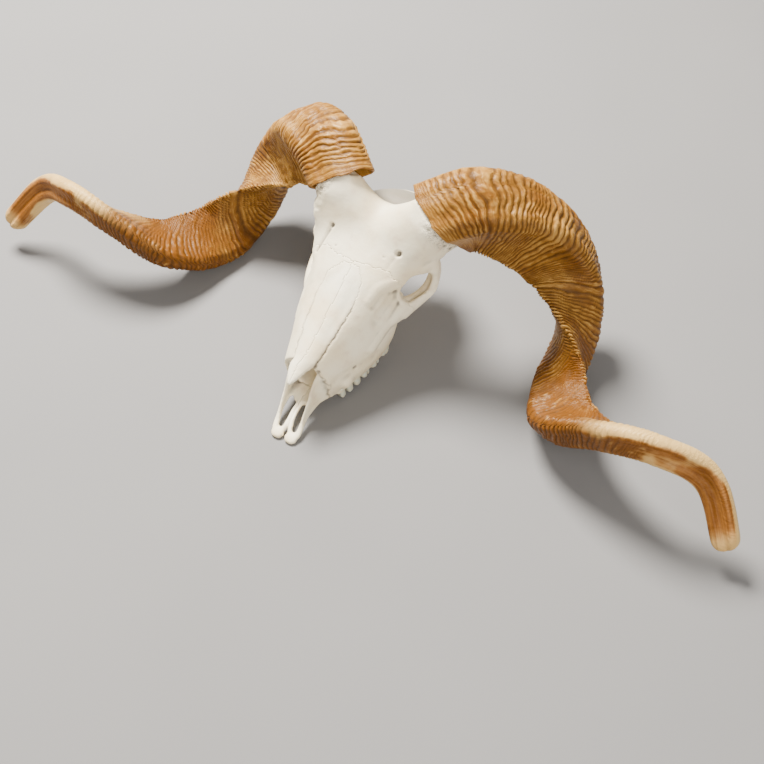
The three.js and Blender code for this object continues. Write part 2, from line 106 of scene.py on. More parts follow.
def grain(points, size, seed=0):
    """Value noise, -1 to 1: random heights at the corners of cubes of this size, blended smoothly."""
    q = np.asarray(points, float) / size
    cell = np.floor(q).astype(np.int64)
    f = q - cell
    f = f * f * (3 - 2 * f)
    total = np.zeros(q.shape[:-1])
    for corner in np.ndindex(2, 2, 2):
        at = cell + np.array(corner)
        key = at[..., 0] * 374761393 + at[..., 1] * 668265263 + at[..., 2] * 1274126177
        key = (key + seed * 974634777) & 0xFFFFFFFF
        key = ((key ^ (key >> 13)) * 1274126177) & 0xFFFFFFFF
        key = key ^ (key >> 16)
        weight = np.prod(np.where(np.array(corner) == 1, f, 1 - f), axis=-1)
        total += weight * ((key & 0xFFFF) / 32767.5 - 1)
    return total


def rough(points, size, seed=0, octaves=3):
    """Sum of grain at halving sizes and heights."""
    heights = [grain(points, size / 2**k, seed + k) / 2**k for k in range(octaves)]
    return sum(heights) / sum(1 / 2**k for k in range(octaves))


def line_noise(s, size, seed=0):
    """grain along one number."""
    s = np.asarray(s, float)
    return grain(np.stack([s, 0 * s + 0.37, 0 * s + 0.61], axis=-1), size, seed)


def to_floor(points):
    """Head's own axes in mm to the floor's axes in metres: pitched nose down, then lifted."""
    c, s = math.cos(REST_PITCH), math.sin(REST_PITCH)
    turn = np.array([[1, 0, 0], [0, c, -s], [0, s, c]])
    return (points @ turn.T + HEAD_AT) * MM


def lean(points):
    """The head in front of the horns leans to the animal's right, and is fuller on that side."""
    x, y, z = points.T
    shift = 2.5 * step(-y, -26, 12) + step(-y, 45, 112) - 2 * step(-y, 130, 164)
    shift += 2.6 * step(-y, 102, 114) * (1 - step(-y, 128, 158))
    shift += 4.2 * step(-x, 4, 24) * step(-y, -36, -16) * (1 - step(z, 96, 108)) * (1 - step(-y, 118, 150))
    moved = points.copy()
    moved[:, 0] -= shift
    return moved


# ---------------------------------------------------------------------------- meshes


def grid_faces(rows, columns, endless=False):
    """Quads of a grid whose columns close on themselves, and if endless its rows too."""
    r, c = np.meshgrid(np.arange(rows if endless else rows - 1), np.arange(columns), indexing="ij")
    below, n = (r + 1) % rows, (c + 1) % columns
    quads = [r * columns + c, r * columns + n, below * columns + n, below * columns + c]
    return np.stack(quads, axis=-1).reshape(-1, 4)


def closed_tube(grid):
    """Grid of rings to vertices, quads and end triangles, facing out, with a pole at each end."""
    rows, columns, _ = grid.shape
    points = grid.reshape(-1, 3)
    poles = np.stack([grid[0].mean(0), grid[-1].mean(0)])
    quads = grid_faces(rows, columns)
    k = np.arange(columns)
    nxt = (k + 1) % columns
    start = np.stack([0 * k + rows * columns, nxt, k], axis=-1)
    base = (rows - 1) * columns
    end = np.stack([0 * k + rows * columns + 1, base + k, base + nxt], axis=-1)
    points = np.concatenate([points, poles])
    tris = np.concatenate([start, end])
    corners = points[np.concatenate([quads[:, :3], quads[:, [0, 2, 3]], tris])]
    volume = np.einsum("ij,ij->", corners[:, 0], np.cross(corners[:, 1], corners[:, 2]))
    if volume < 0:
        quads, tris = quads[:, ::-1], tris[:, ::-1]
    return points, [*quads.tolist(), *tris.tolist()]


def cross_loft(stations, count=44, between=4):
    """Rings across the head through [y, half outline] stations; the half outlines are mirrored."""
    t = np.linspace(0, 1, (len(stations) - 1) * between + 1)
    halves = spline(np.array([half for _, half in stations], float), t)
    ys = spline(np.array([y for y, _ in stations], float), t)
    rings = []
    for y, half in zip(ys, halves):
        half[:, 0] = np.maximum(half[:, 0], 0)
        inner = half[1:-1][::-1] * [-1, 1]
        ring = round_loop(np.concatenate([half, inner]), count)
        rings.append(np.insert(ring, 1, y, axis=1))
    return closed_tube(np.array(rings))


def bar(points, up=(0, 0, 1), around=16, between=6):
    """Elliptic tube along a curve: rows of [x, y, z, half width, half height]."""
    t = np.linspace(0, 1, (len(points) - 1) * between + 1)
    row = spline(np.array(points, float), t)
    place, wide, high = row[:, :3], row[:, 3], row[:, 4]
    ahead = unit(np.gradient(place, axis=0))
    across = unit(np.cross(ahead, np.array(up, float)))
    rise = np.cross(across, ahead)
    angle = np.linspace(0, 2 * math.pi, around, endpoint=False)
    side = across[:, None] * (np.cos(angle)[None, :, None] * wide[:, None, None])
    lift = rise[:, None] * (np.sin(angle)[None, :, None] * high[:, None, None])
    return closed_tube(place[:, None] + side + lift)


def ball(centre, sizes, around=20, rows=11):
    """Ellipsoid with three half sizes."""
    polar = np.linspace(0.12, math.pi - 0.12, rows)[:, None]
    angle = np.linspace(0, 2 * math.pi, around, endpoint=False)[None]
    x = np.sin(polar) * np.cos(angle)
    y = np.sin(polar) * np.sin(angle)
    z = np.cos(polar) + 0 * angle
    return closed_tube(np.stack([x, y, z], axis=-1) * sizes + np.array(centre, float))


def hull(points):
    """Convex body around the points."""
    work = bmesh.new()
    for p in points:
        work.verts.new(p)
    bmesh.ops.convex_hull(work, input=work.verts[:])
    loose = [v for v in work.verts if not v.link_faces]
    bmesh.ops.delete(work, geom=loose, context="VERTS")
    bmesh.ops.recalc_face_normals(work, faces=work.faces[:])
    work.verts.index_update()
    made = np.array([v.co[:] for v in work.verts]), [[v.index for v in f.verts] for f in work.faces]
    work.free()
    return made


def mirror(body):
    """The same body on the animal's other side."""
    points, faces = body
    return points * [-1, 1, 1], [face[::-1] for face in faces]


def both(*bodies):
    return [*bodies, *map(mirror, bodies)]


def mesh_of(name, bodies):
    """One mesh from several bodies, in whatever unit they are in."""
    points, faces, base = [], [], 0
    for body_points, body_faces in bodies:
        points.append(body_points)
        faces += [[base + i for i in face] for face in body_faces]
        base += len(body_points)
    mesh = bpy.data.meshes.new(name)
    mesh.from_pydata(np.concatenate(points).tolist(), [], faces)
    mesh.update()
    return mesh


def link(name, mesh):
    made = bpy.data.objects.new(name, mesh)
    bpy.context.scene.collection.objects.link(made)
    return made


def finished_mesh(thing):
    """The object's mesh with its modifiers carried out; the object goes away."""
    graph = bpy.context.evaluated_depsgraph_get()
    mesh = bpy.data.meshes.new_from_object(thing.evaluated_get(graph))
    bpy.data.objects.remove(thing)
    return mesh


def piece(name, mesh, material, nodes):
    """Finished piece: smooth shaded, riding on the head, standing for its solids."""
    made = link(name, mesh)
    mesh.materials.clear()
    mesh.materials.append(material)
    mesh.shade_smooth()
    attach(made, "root")
    if nodes:
        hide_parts(*nodes)
    return made


def attribute(mesh, name, values):
    """Number or vector on each vertex, for the materials."""
    kind = "FLOAT_VECTOR" if values.ndim == 2 else "FLOAT"
    field = "vector" if values.ndim == 2 else "value"
    layer = mesh.attributes.new(name, kind, "POINT")
    layer.data.foreach_set(field, np.ascontiguousarray(values, np.float32).ravel())


# ---------------------------------------------------------------------------- paint


class Wire:
    """A socket that takes part in sums: each operator adds its Math node."""

    def __init__(self, paint, socket):
        self.paint = paint
        self.socket = socket

    def _math(self, operation, left, right):
        return self.paint.node("ShaderNodeMath", {"operation": operation}, {0: left, 1: right})

    def __add__(self, other):
        return self._math("ADD", self, other)

    def __sub__(self, other):
        return self._math("SUBTRACT", self, other)

    def __mul__(self, other):
        return self._math("MULTIPLY", self, other)

    def between(self, low, high, to_low=0.0, to_high=1.0):
        """The value's stretch from low to high, spread over another and kept inside it."""
        sizes = {"From Min": low, "From Max": high, "To Min": to_low, "To Max": to_high}
        return self.paint.node("ShaderNodeMapRange", {"clamp": True}, {"Value": self, **sizes})


class Paint:
    """One material under construction."""

    def __init__(self, name):
        self.material = bpy.data.materials.new(name)
        self.material.use_nodes = True
        self.tree = self.material.node_tree
        self.tree.nodes.clear()

    def node(self, kind, settings=None, inputs=None, output=0):
        """Any node: its settings first, then the values or links of its sockets."""
        made = self.tree.nodes.new(kind)
        for key, value in (settings or {}).items():
            setattr(made, key, value)
        for key, value in (inputs or {}).items():
            self.feed(made.inputs[key], value)
        return None if output is None else Wire(self, made.outputs[output])

    def feed(self, socket, value):
        if isinstance(value, Wire):
            self.tree.links.new(value.socket, socket)
        else:
            socket.default_value = value

    def field(self, name, output="Fac"):
        return self.node("ShaderNodeAttribute", {"attribute_name": name}, output=output)

    def noise(self, where, scale, detail=4.0, roughness=0.55):
        sizes = {"Vector": where, "Scale": scale, "Detail": detail, "Roughness": roughness}
        return self.node("ShaderNodeTexNoise", {}, sizes)

    def stretched(self, where, scale):
        """The coordinates with each axis multiplied by its own number."""
        return self.node("ShaderNodeMapping", {}, {"Vector": where, "Scale": scale})

    def mix(self, share, first, second):
        """Colour between two, by share."""
        inputs = {0: share, 6: first, 7: second}
        return self.node("ShaderNodeMix", {"data_type": "RGBA"}, inputs, output=2)

    def finish(self, colour, roughness, height, depth, **fixed):
        """Principled surface with a bump of this height wire and depth in metres."""
        bump = self.node("ShaderNodeBump", {}, {"Height": height, "Distance": depth, "Strength": 1.0})
        inputs = {"Base Color": colour, "Roughness": roughness, "Normal": bump}
        inputs.update({key.replace("_", " "): value for key, value in fixed.items()})
        shader = self.node("ShaderNodeBsdfPrincipled", {}, inputs)
        self.node("ShaderNodeOutputMaterial", {}, {"Surface": shader}, output=None)
        return self.material


def horn_paint(settings):
    """Golden horn: pale ridge crests with painted highlight, valleys with painted shade, cream worn tip with
    brown streaks.
    """
    paint = Paint("horn_sheath")
    fibre = paint.field("fibre", "Vector")
    crest = paint.field("crest")
    worn = paint.field("worn")
    groove = paint.field("groove")
    blotch = paint.noise(fibre, 32.0)
    lines = paint.noise(paint.stretched(fibre, (900.0, 110.0, 110.0)), 1.0)
    crinkle = paint.noise(paint.stretched(fibre, (420.0, 230.0, 230.0)), 1.0, 3.0)
    streaks = paint.noise(paint.stretched(fibre, (22.0, 420.0, 420.0)), 1.0)
    along = paint.node("ShaderNodeSeparateXYZ", {}, {"Vector": fibre})
    far = along.between(0.19, 0.33, 0.0, 0.32)
    warm = paint.mix((blotch + lines * 0.3 - far).between(0.45, 0.8), settings.amber,
                     settings.honey)
    # Painted shade: the dark valley colour in the grooves between the growth ridges.
    shaded = paint.mix((crest + crinkle * 0.3).between(0.1, 0.62), settings.valley, warm)
    # Painted highlight: pale crest colour in spots on the ridge tops, fewer farther from the rim; partly
    # also the paler worn tops.
    highlight_spots = crest * 0.55 + lines * 0.5 + crinkle * 0.5 + blotch * 0.4 - far * 0.5
    highlighted = paint.mix(highlight_spots.between(0.95, 1.4), shaded, settings.crest)
    flesh = paint.mix(groove, settings.tip, settings.peach)
    stained = (groove * 0.5 + streaks * 0.9 + blotch * 0.9 - 0.9).between(0.2, 0.55, 0.0, 0.9)
    brown = paint.mix(stained, flesh, settings.streak)
    colour = paint.mix(worn, highlighted, brown)
    gloss = (blotch * 0.3 + lines * 0.4 - crest * 0.2).between(0.0, 0.6, 0.26, 0.55)
    height = lines * 0.5 + crinkle * 0.8 + streaks * 0.2
    return paint.finish(colour, gloss, height, 0.0008, Specular_IOR_Level=0.2,
                        Specular_Tint=(1.0, 0.86, 0.66, 1.0))


def bone_paint(settings, name, tint):
    """Bleached bone: ivory with faint cream and rosy areas, dark sutures and pores, painted shade in hollows
    and at the nape.
    """
    paint = Paint(name)
    where = paint.node("ShaderNodeTexCoord", output="Object")
    suture = paint.field("suture")
    hollow = paint.field("hollow")
    porous = paint.field("porous")
    cloud = paint.noise(where, 24.0, 3.0)
    mottle = paint.noise(where, 95.0)
    pores = paint.noise(where, 900.0, 3.0, 0.6)
    fine = paint.noise(where, 330.0, 5.0)
    base = paint.mix(cloud.between(0.42, 0.66), tint, settings.cream)
    rosy = paint.mix(mottle.between(0.55, 0.75, 0.0, 0.45), base, settings.rose)
    # Painted shade: darker in hollows and on the nape behind the forehead.
    shaded_bone = paint.mix((hollow * 1.2 + mottle * 0.3 - 0.2).between(0.05, 0.9, 0.0, 0.92), rosy,
                      settings.dust_and_shade)
    pitted = paint.mix((porous * pores.between(0.5, 0.62)).between(0.0, 1.0, 0.0, 0.6), shaded_bone,
                       settings.dust_and_shade)
    colour = paint.mix((suture * fine.between(0.2, 0.6, 0.5, 1.0)).between(0.08, 0.9, 0.0, 0.9),
                       pitted, settings.suture)
    gloss = (fine * 0.3 + porous * 0.2 + 0.35).between(0.3, 0.9, 0.42, 0.8)
    height = fine * 0.5 + pores * (porous * 2.5 + 0.25)
    return paint.finish(colour, gloss, height, 0.00035)


def tooth_paint(settings):
    """Enamel: greenish white, brown between the folds."""
    paint = Paint("enamel")
    where = paint.node("ShaderNodeTexCoord", output="Object")
    groove = paint.field("groove")
    mottle = paint.noise(where, 260.0)
    base = paint.mix(mottle.between(0.4, 0.7), settings.enamel, settings.cream)
    colour = paint.mix((groove + mottle * 0.4 - 0.3).between(0.1, 0.9, 0.0, 0.8), base,
                       settings.suture)
    gloss = mottle.between(0.3, 0.7, 0.28, 0.45)
    return paint.finish(colour, gloss, mottle, 0.0002)


def floor_paint(settings):
    paint = Paint("pale_floor")
    where = paint.node("ShaderNodeTexCoord", output="Object")
    soft = paint.noise(where, 3.0, 2.0)
    shade = tuple(0.93 * c for c in settings.floor[:3]) + (1.0,)
    colour = paint.mix(soft.between(0.3, 0.7), settings.floor, shade)
    return paint.finish(colour, 0.85, soft, 0.0001)


# ----------------------------------------------------------------------------- horns

# Growth stations from the base to the blunt tip: centre, the way the front face looks,
# width of the front face and depth to the rear edge.
HORN_AT = [
    (39, 49, 95), (76, 79, 101), (119, 98, 73), (149, 98, 31), (170, 59, 0), (188, 8, -5),
    (211, -33, 20), (252, -47, 50), (302, -49, 64), (350, -47, 44), (386, -82, 8),
]
HORN_FRONT = [
    (0.11, -0.34, 0.93), (0.36, -0.18, 0.92), (0.59, 0.36, 0.72), (0.81, 0.52, 0.27),
    (0.54, 0.5, -0.68), (-0.03, -0.22, -0.97), (-0.24, -0.82, -0.51), (-0.15, -0.99, -0.04),
    (0.02, -0.92, 0.39), (0.13, -0.8, 0.58), (-0.03, -0.77, 0.64),
]
HORN_WIDTH = [62, 66, 60, 53, 48, 43, 38, 34, 30, 28, 25]
HORN_DEPTH = [68, 69, 69, 66, 66, 59, 55, 38, 27, 20, 15]
EDGE_ROUNDING = 0.24
REAR_LEAN = 0.36
SHEATH_POINT = np.array([21.0, 65, 117])
SHEATH_NORMAL = unit(np.array([0.589, 0.645, 0.487]))
SHEATH_WALL = 3.0
RIM_HOLLOW = 16  # depth of the hollow behind the rim
HORN_ROWS = 820
TIP_ROWS = 12
TIP_LENGTH = 9.0  # of the rounded end
RESTING_SWELL = 1.3  # brings the lowest turn down to the floor
# Points around the section, clockwise from the front face: face, corner, face, corner...
SECTION = (("face", 0, 26), ("corner", 1, 14), ("face", 1, 26), ("corner", 2, 10), ("face", 2, 22),
           ("corner", 0, 14))


def horn_frame(u):
    """Centre, direction, front, across, width and depth of the section at u, any shape of u."""
    nudge = 0.004
    centre = spline(HORN_AT, u)
    ahead = unit(spline(HORN_AT, u + nudge) - spline(HORN_AT, u - nudge))
    front = spline(HORN_FRONT, u)
    front = unit(front - ahead * np.sum(front * ahead, axis=-1, keepdims=True))
    across = np.cross(ahead, front)
    return centre, ahead, front, across, spline(HORN_WIDTH, u), spline(HORN_DEPTH, u)


def horn_length_at(u):
    """Distance along the horn's middle line, mm, from its first station."""
    fine = np.linspace(-0.1, 1, 900)
    places = spline(HORN_AT, fine)
    run = np.concatenate([[0], np.cumsum(np.linalg.norm(np.diff(places, axis=0), axis=1))])
    return np.interp(u, fine, run) - np.interp(0, fine, run)


def place_at(u, offset):
    """Places of points that lie off the middle line by (across, front)."""
    centre, _, front, across, _, _ = horn_frame(u)
    return centre + across * offset[..., :1] + front * offset[..., 1:]


class Around:
    """Points around the section. Each lies `share` of the way from one of its two corners to the
    other, and its normal `turn` of the way from one of its two faces' normals to the other."""

    def __init__(self, every=1):
        rows = []
        for kind, k, count in SECTION:
            for j in range(count):
                f = (j + 0.5) / count
                if kind == "face":
                    rows.append((k, (k + 1) % 3, f, k, k, 0.0))
                else:
                    rows.append((k, k, 0.0, (k + 2) % 3, k, f))
        rows = np.array(rows)[::every]
        self.corners = rows[:, 0].astype(int), rows[:, 1].astype(int)
        self.faces = rows[:, 3].astype(int), rows[:, 4].astype(int)
        self.share, self.turn = rows[:, 2], rows[:, 5]
        self.on_face = self.corners[0] != self.corners[1]
        self.count = len(rows)


def chosen(options, numbers):
    """For each point around, the option of its number; options lie along the first axis."""
    masks = [numbers == k for k in range(len(options))]
    if options[0].shape[-1] != len(numbers):
        masks = [mask[:, None] for mask in masks]
    return sum(mask * option for mask, option in zip(masks, options))


def blended(options, numbers, share):
    """The share of the way from the option of the first number to that of the second."""
    return (1 - share) * chosen(options, numbers[0]) + share * chosen(options, numbers[1])


def section_point(u, around):
    """Rounded three-cornered section at u, whose last axis runs around: corner circles joined by
    faces, each point pushed out along its normal by the circle's radius. Returns the offsets
    from the middle line (across, front) and the normal."""
    _, _, _, _, width, depth = horn_frame(u)
    circle = EDGE_ROUNDING * width
    half, rise = width / 2, depth / 2
    radii = [0.3 * width, 0.25 * width, 0.09 * width]
    push = circle - radii[2]
    corners = [
        np.stack([-half + radii[0], rise - radii[0]], axis=-1),
        np.stack([half - radii[1], rise - radii[1]], axis=-1),
        np.stack([REAR_LEAN * width + 0.55 * push, circle - rise - 0.8 * push], axis=-1),
    ]
    edges = [corners[(k + 1) % 3] - corners[k] for k in range(3)]
    normals = [unit(np.stack([-edge[..., 1], edge[..., 0]], axis=-1)) for edge in edges]
    corner = blended(corners, around.corners, around.share[:, None])
    normal = unit(blended(normals, around.faces, around.turn[:, None]))
    radius = blended(radii, around.corners, around.share)
    return corner + normal * radius[..., None], normal


def horn_bulge(s, around, width):
    """Faces bow out near the base; the front face turns hollow towards the tip."""
    on_face = np.sin(math.pi * around.share) ** 2 * around.on_face
    front = (around.faces[0] == 0) & around.on_face
    base = np.where(front, 0.03, -0.03)
    tip = np.where(front, -0.12, 0.02)
    share = step(s, 330, 520)
    return on_face * ((1 - share) * base + share * tip) * width


def horn_ridges(s, rim, around, points, settings, seed):
    """Growth ridges across the horn: broad crests and narrow valleys in the distance from the rim,
    bent by the face that they cross and by noise, with finer wrinkles between. 0 in a valley,
    1 on a crest."""
    corner_lean = np.array([-6.0, 2.0, 18.0])
    first, second = around.corners
    toward = np.where(second == 0, 1 - (1 - around.share) ** 2.5, around.share)
    slant = (1 - toward) * corner_lean[first] + toward * corner_lean[second]
    away = s - rim * np.exp(-np.maximum(s, 0) / 110) + slant * step(s, 30, 150)
    away = away + 3.0 * grain(points, 26, seed) + 1.5 * grain(points, 9, seed + 1)
    away = away + 0.8 * grain(points, 4, seed + 10)
    spacing = settings.ridge_spacing / MM
    phase = away / spacing + 1.3 * line_noise(away, 19, seed + 2)
    wave = 1 - (0.5 - 0.5 * np.cos(2 * math.pi * phase)) ** 2.2
    wrinkles = 0.5 + 0.5 * np.cos(2 * math.pi * (away / 1.9 + 1.5 * line_noise(away, 9, seed + 3)))
    patch = 0.5 + 0.5 * grain(points, 13, seed + 4)
    lumps = 0.5 + 0.5 * grain(points, 4.0, seed + 7)
    height = 0.45 + 0.55 * (0.5 + 0.5 * line_noise(phase, 1.6, seed + 8))
    crest = wave * height * (0.6 + 0.4 * patch) + 0.24 * (wrinkles - 0.5) * patch
    return np.clip(crest + 0.42 * (lumps - 0.5) * (0.4 + 0.6 * wave), 0, 1), away


def ridge_depth(away, around, settings):
    """Depth of the ridges: none beside the rim, deepest on the jagged rear edge, gone at the tip."""
    corner_depth = np.array([1.1, 1.0, 2.0])
    face_depth = np.array([1.1, 0.8, 0.9])
    first, second = around.corners
    face = around.faces[0]
    edge = (1 - around.share) * corner_depth[first] + around.share * corner_depth[second]
    middle = np.sin(math.pi * around.share)
    share = np.where(around.on_face, edge + middle * (face_depth[face] - edge), edge)
    under = (face == 1) & around.on_face
    start = 1 + 34 * middle * under
    begin = 0.2 + 0.8 * step(away, start + 4, start + 34)
    fade = 1 - 0.95 * step(away, 330, 470)
    return settings.ridge_depth / MM * share * begin * fade


def rim_plane(rim, offset):
    """The rim's distances as a flat slant across the section, without its local bends."""
    sides = np.stack([offset[:, 0], offset[:, 1], np.ones(len(rim))], axis=1)
    return sides @ np.linalg.lstsq(sides, rim, rcond=None)[0]


def rim_start(around, seed):
    """u on each line along the horn where it crosses the plane of the sheath's ragged rim."""
    turn = np.arange(around.count) * 2 * math.pi / around.count
    circle = np.stack([np.cos(turn), np.sin(turn), 0 * turn], axis=-1)
    ragged = 1.1 + 1.0 * grain(circle, 0.4, seed) + 0.4 * grain(circle, 0.13, seed + 1)
    low, high = np.full(around.count, -0.09), np.full(around.count, 0.12)
    for _ in range(30):
        u = (low + high) / 2
        offset, _ = section_point(u, around)
        before = (place_at(u, offset) - SHEATH_POINT) @ SHEATH_NORMAL < ragged
        low, high = np.where(before, u, low), np.where(before, high, u)
    crossing = (low + high) / 2
    offset, _ = section_point(crossing, around)
    return np.maximum(crossing, rim_plane(crossing, offset) - 0.006)


def rings_along(start):
    """u of every point, ring by ring from the rim to the blunt tip, and the size of each ring."""
    end_angle = np.linspace(0, math.pi / 2, TIP_ROWS + 1)[1:] * 0.97
    begin = 1 - TIP_LENGTH / horn_length_at(1.0)
    t = np.concatenate([np.linspace(0, begin, HORN_ROWS), begin + (1 - begin) * np.sin(end_angle)])
    shrink = np.concatenate([np.ones(HORN_ROWS), np.cos(end_angle) ** 0.7])
    return start[None] + (1 - start[None]) * t[:, None], shrink[:, None, None]


def rim_lip(rim):
    """Rings from the bottom of the hollow out to the rim: wall thicknesses in, mm along."""
    middle = rim.mean(0)
    arm = rim - middle
    wall = SHEATH_WALL / np.linalg.norm(arm, axis=1, keepdims=True)
    steps = ((2, RIM_HOLLOW), (1, 1.0), (0.45, -0.5))
    return np.array([middle + arm * (1 - wall * k) + SHEATH_NORMAL * along for k, along in steps])


def tip_marks(s, normal, places, seed):
    """Where the horn is worn pale, and the hollow front face within that."""
    worn = step(s + 55 * rough(places, 26, seed + 5), 350, 450)
    edge = 0.9 - 0.3 * step(s, 440, 540) + 0.24 * rough(places, 16, seed + 6)
    total = horn_length_at(1.0)
    end = 1 - 0.8 * step(s, total - 22, total - 6)
    return worn, step(normal[..., 1], edge - 0.12, edge + 0.12) * end


def horn_mesh(seed, settings):
    """Sheath of the left horn: the three-cornered section carried along the spiral, ridged, with
    a lip at the rim and a rounded blunt tip. Also the fields that its material reads."""
    around = Around()
    u, shrink = rings_along(rim_start(around, seed))
    s = horn_length_at(u)
    offset, normal = section_point(u, around)
    smooth_place = place_at(u, offset)
    crest, away = horn_ridges(s, rim_plane(s[0], offset[0]), around, smooth_place, settings, seed)
    depth = ridge_depth(away, around, settings)
    lumps = 0.8 * rough(smooth_place, 45, seed + 9) * step(away, 20, 80)
    resting = step(s, 110, 170) * (1 - step(s, 250, 310))
    width = spline(HORN_WIDTH, u)
    out = horn_bulge(s, around, width) + depth * (crest - 1) + lumps - 0.6 + RESTING_SWELL * resting
    offset = (offset + normal * out[..., None]) * shrink
    grid = place_at(u, offset)
    lip = rim_lip(grid[0])
    points, faces = closed_tube(np.concatenate([lip, grid]))
    keel = (around.corners[0] == 2) & ~around.on_face
    # Field for the paint: low in ridge valleys for painted shade, high on crests and more so on the jagged
    # rear keel for painted highlight, middling where the ridges are shallow.
    ridge_shade_and_highlight = 0.6 + (crest - 0.6) * np.clip(depth / 0.9, 0, 1) + 0.6 * keel * crest
    worn, groove = tip_marks(s, normal, smooth_place, seed)
    fibre = np.stack([away * MM, offset[..., 0] * MM, offset[..., 1] * MM], axis=-1)

    def padded(values):
        lip_rows = np.repeat(values[:1], len(lip), axis=0)
        flat = np.concatenate([lip_rows, values]).reshape(-1, *values.shape[2:])
        return np.concatenate([flat, flat[:1], flat[-1:]])

    fields = {"crest": ridge_shade_and_highlight, "worn": worn, "groove": groove, "fibre": fibre}
    return points, faces, {name: padded(values) for name, values in fields.items()}


def make_horns(settings):
    material = horn_paint(settings)
    for k, (side, sign) in enumerate(SIDES):
        points, faces, fields = horn_mesh(11 + 40 * k, settings)
        if sign < 0:
            points, faces = mirror((points, faces))
        mesh = mesh_of(f"horn_{side}", [(to_floor(points), faces)])
        for name, values in fields.items():
            attribute(mesh, name, values)
        nodes = [f"horn_{part}_{side}" for part in ("base", "crown", "coil", "spread", "tip")]
        piece(f"horn_sheath_{side}", mesh, material, nodes)


# ------------------------------------------------------------------------------ bones

ORBIT_CENTRE = np.array([53.0, 5, 57])
ORBIT_NORMAL = unit(np.array([0.77, -0.43, 0.13]))
ORBIT_DRAIN = unit(np.array([-0.3, 0.42, -0.86]))
ORBIT_RADIUS = 16.0
NASAL = [
    (-128, 1.6, 46.8, 1.0), (-120, 6, 49.5, 2.5), (-108, 9.5, 53, 4), (-90, 12.5, 59, 5.5),
    (-70, 15, 66, 7), (-45, 17, 75, 7), (-25, 15, 82, 6), (-12, 5, 87, 5),
]
FACE = [
    (-104, [(0, 50), (9, 48), (15, 43), (21, 32), (22, 15), (19, 0), (14, -1), (0, 1)]),
    (-85, [(0, 59), (11, 57), (19, 50), (27, 34), (29, 12), (24, -5), (17, -5), (0, 2)]),
    (-62, [(0, 67), (14, 65), (25, 56), (35, 38), (37, 14), (31, -6), (20, -6), (0, 4)]),
    (-38, [(0, 76), (17, 73), (30, 64), (40, 46), (42, 20), (35, -6), (22, -6), (0, 5)]),
    (-20, [(0, 83), (22, 80), (36, 70), (43, 50), (43, 25), (34, -3), (23, -4), (0, 5)]),
    (0, [(0, 89), (28, 86), (42, 77), (42, 56), (36, 32), (26, 6), (18, 2), (0, 8)]),
]
BRAINCASE = [
    (-8, [(0, 84), (30, 82), (36, 74), (28, 50), (20, 30), (14, 12), (8, 6), (0, 6)]),
    (20, [(0, 94), (34, 90), (42, 82), (26, 58), (18, 36), (14, 14), (8, 8), (0, 8)]),
    (44, [(0, 99), (28, 100), (40, 92), (36, 66), (28, 40), (18, 16), (10, 10), (0, 10)]),
    (58, [(0, 89), (23, 88), (38, 83), (40, 66), (34, 40), (20, 18), (10, 12), (0, 12)]),
    (70, [(0, 86), (20, 84), (34, 76), (41, 60), (38, 38), (24, 16), (12, 10), (0, 10)]),
    (84, [(0, 75), (18, 72), (30, 64), (37, 52), (35, 34), (22, 16), (12, 10), (0, 10)]),
    (96, [(0, 62), (12, 60), (20, 54), (25, 44), (24, 32), (18, 20), (10, 12), (0, 12)]),
]
BROW = [
    (-16, [(0, 84), (24, 81), (36, 74), (40, 68), (34, 64), (20, 66), (0, 70)]),
    (0, [(0, 90), (28, 87), (44, 79), (49, 71), (44, 66), (24, 68), (0, 72)]),
    (14, [(0, 96), (32, 93), (48, 85), (57, 75), (52, 68), (28, 72), (0, 76)]),
    (28, [(0, 101), (34, 101), (50, 92), (61, 78), (56, 69), (30, 74), (0, 78)]),
    (42, [(0, 101), (28, 104), (46, 100), (57, 84), (50, 74), (30, 78), (0, 82)]),
    (53, [(0, 97), (20, 99.5), (36, 103), (48, 92), (44, 82), (26, 80), (0, 84)]),
]
PEDICLE_FOOT = [
    (-3, 45, 101), (-3, 12, 93), (12, 52, 101), (44, 0, 80), (58, 22, 78), (50, 48, 74),
    (18, 56, 88),
]
NOSE_HOLLOW = [
    (-110, [(0, 46), (7, 42), (11, 26), (11, 8), (0, 5)]),
    (-80, [(0, 54), (9, 48), (16, 28), (15, 10), (0, 7)]),
    (-58, [(0, 44), (6, 40), (9, 28), (8, 16), (0, 14)]),
]
NOSE_FLOOR = [
    (-122, [(0, 3), (4, 3), (7, 2), (4, 0), (0, 0)]),
    (-112, [(0, 4.5), (9, 4), (14, 3), (10, 0), (0, 0)]),
    (-98, [(0, 6), (12, 6), (16, 3), (12, 0), (0, 0)]),
]
CORE_REAR = 0.6  # the bony core leaves the rear keel of the sheath empty
CORE_OUTER = 0.86
CORE_INNER = 0.58
VOXEL = 1.28
SHELL = 0.8


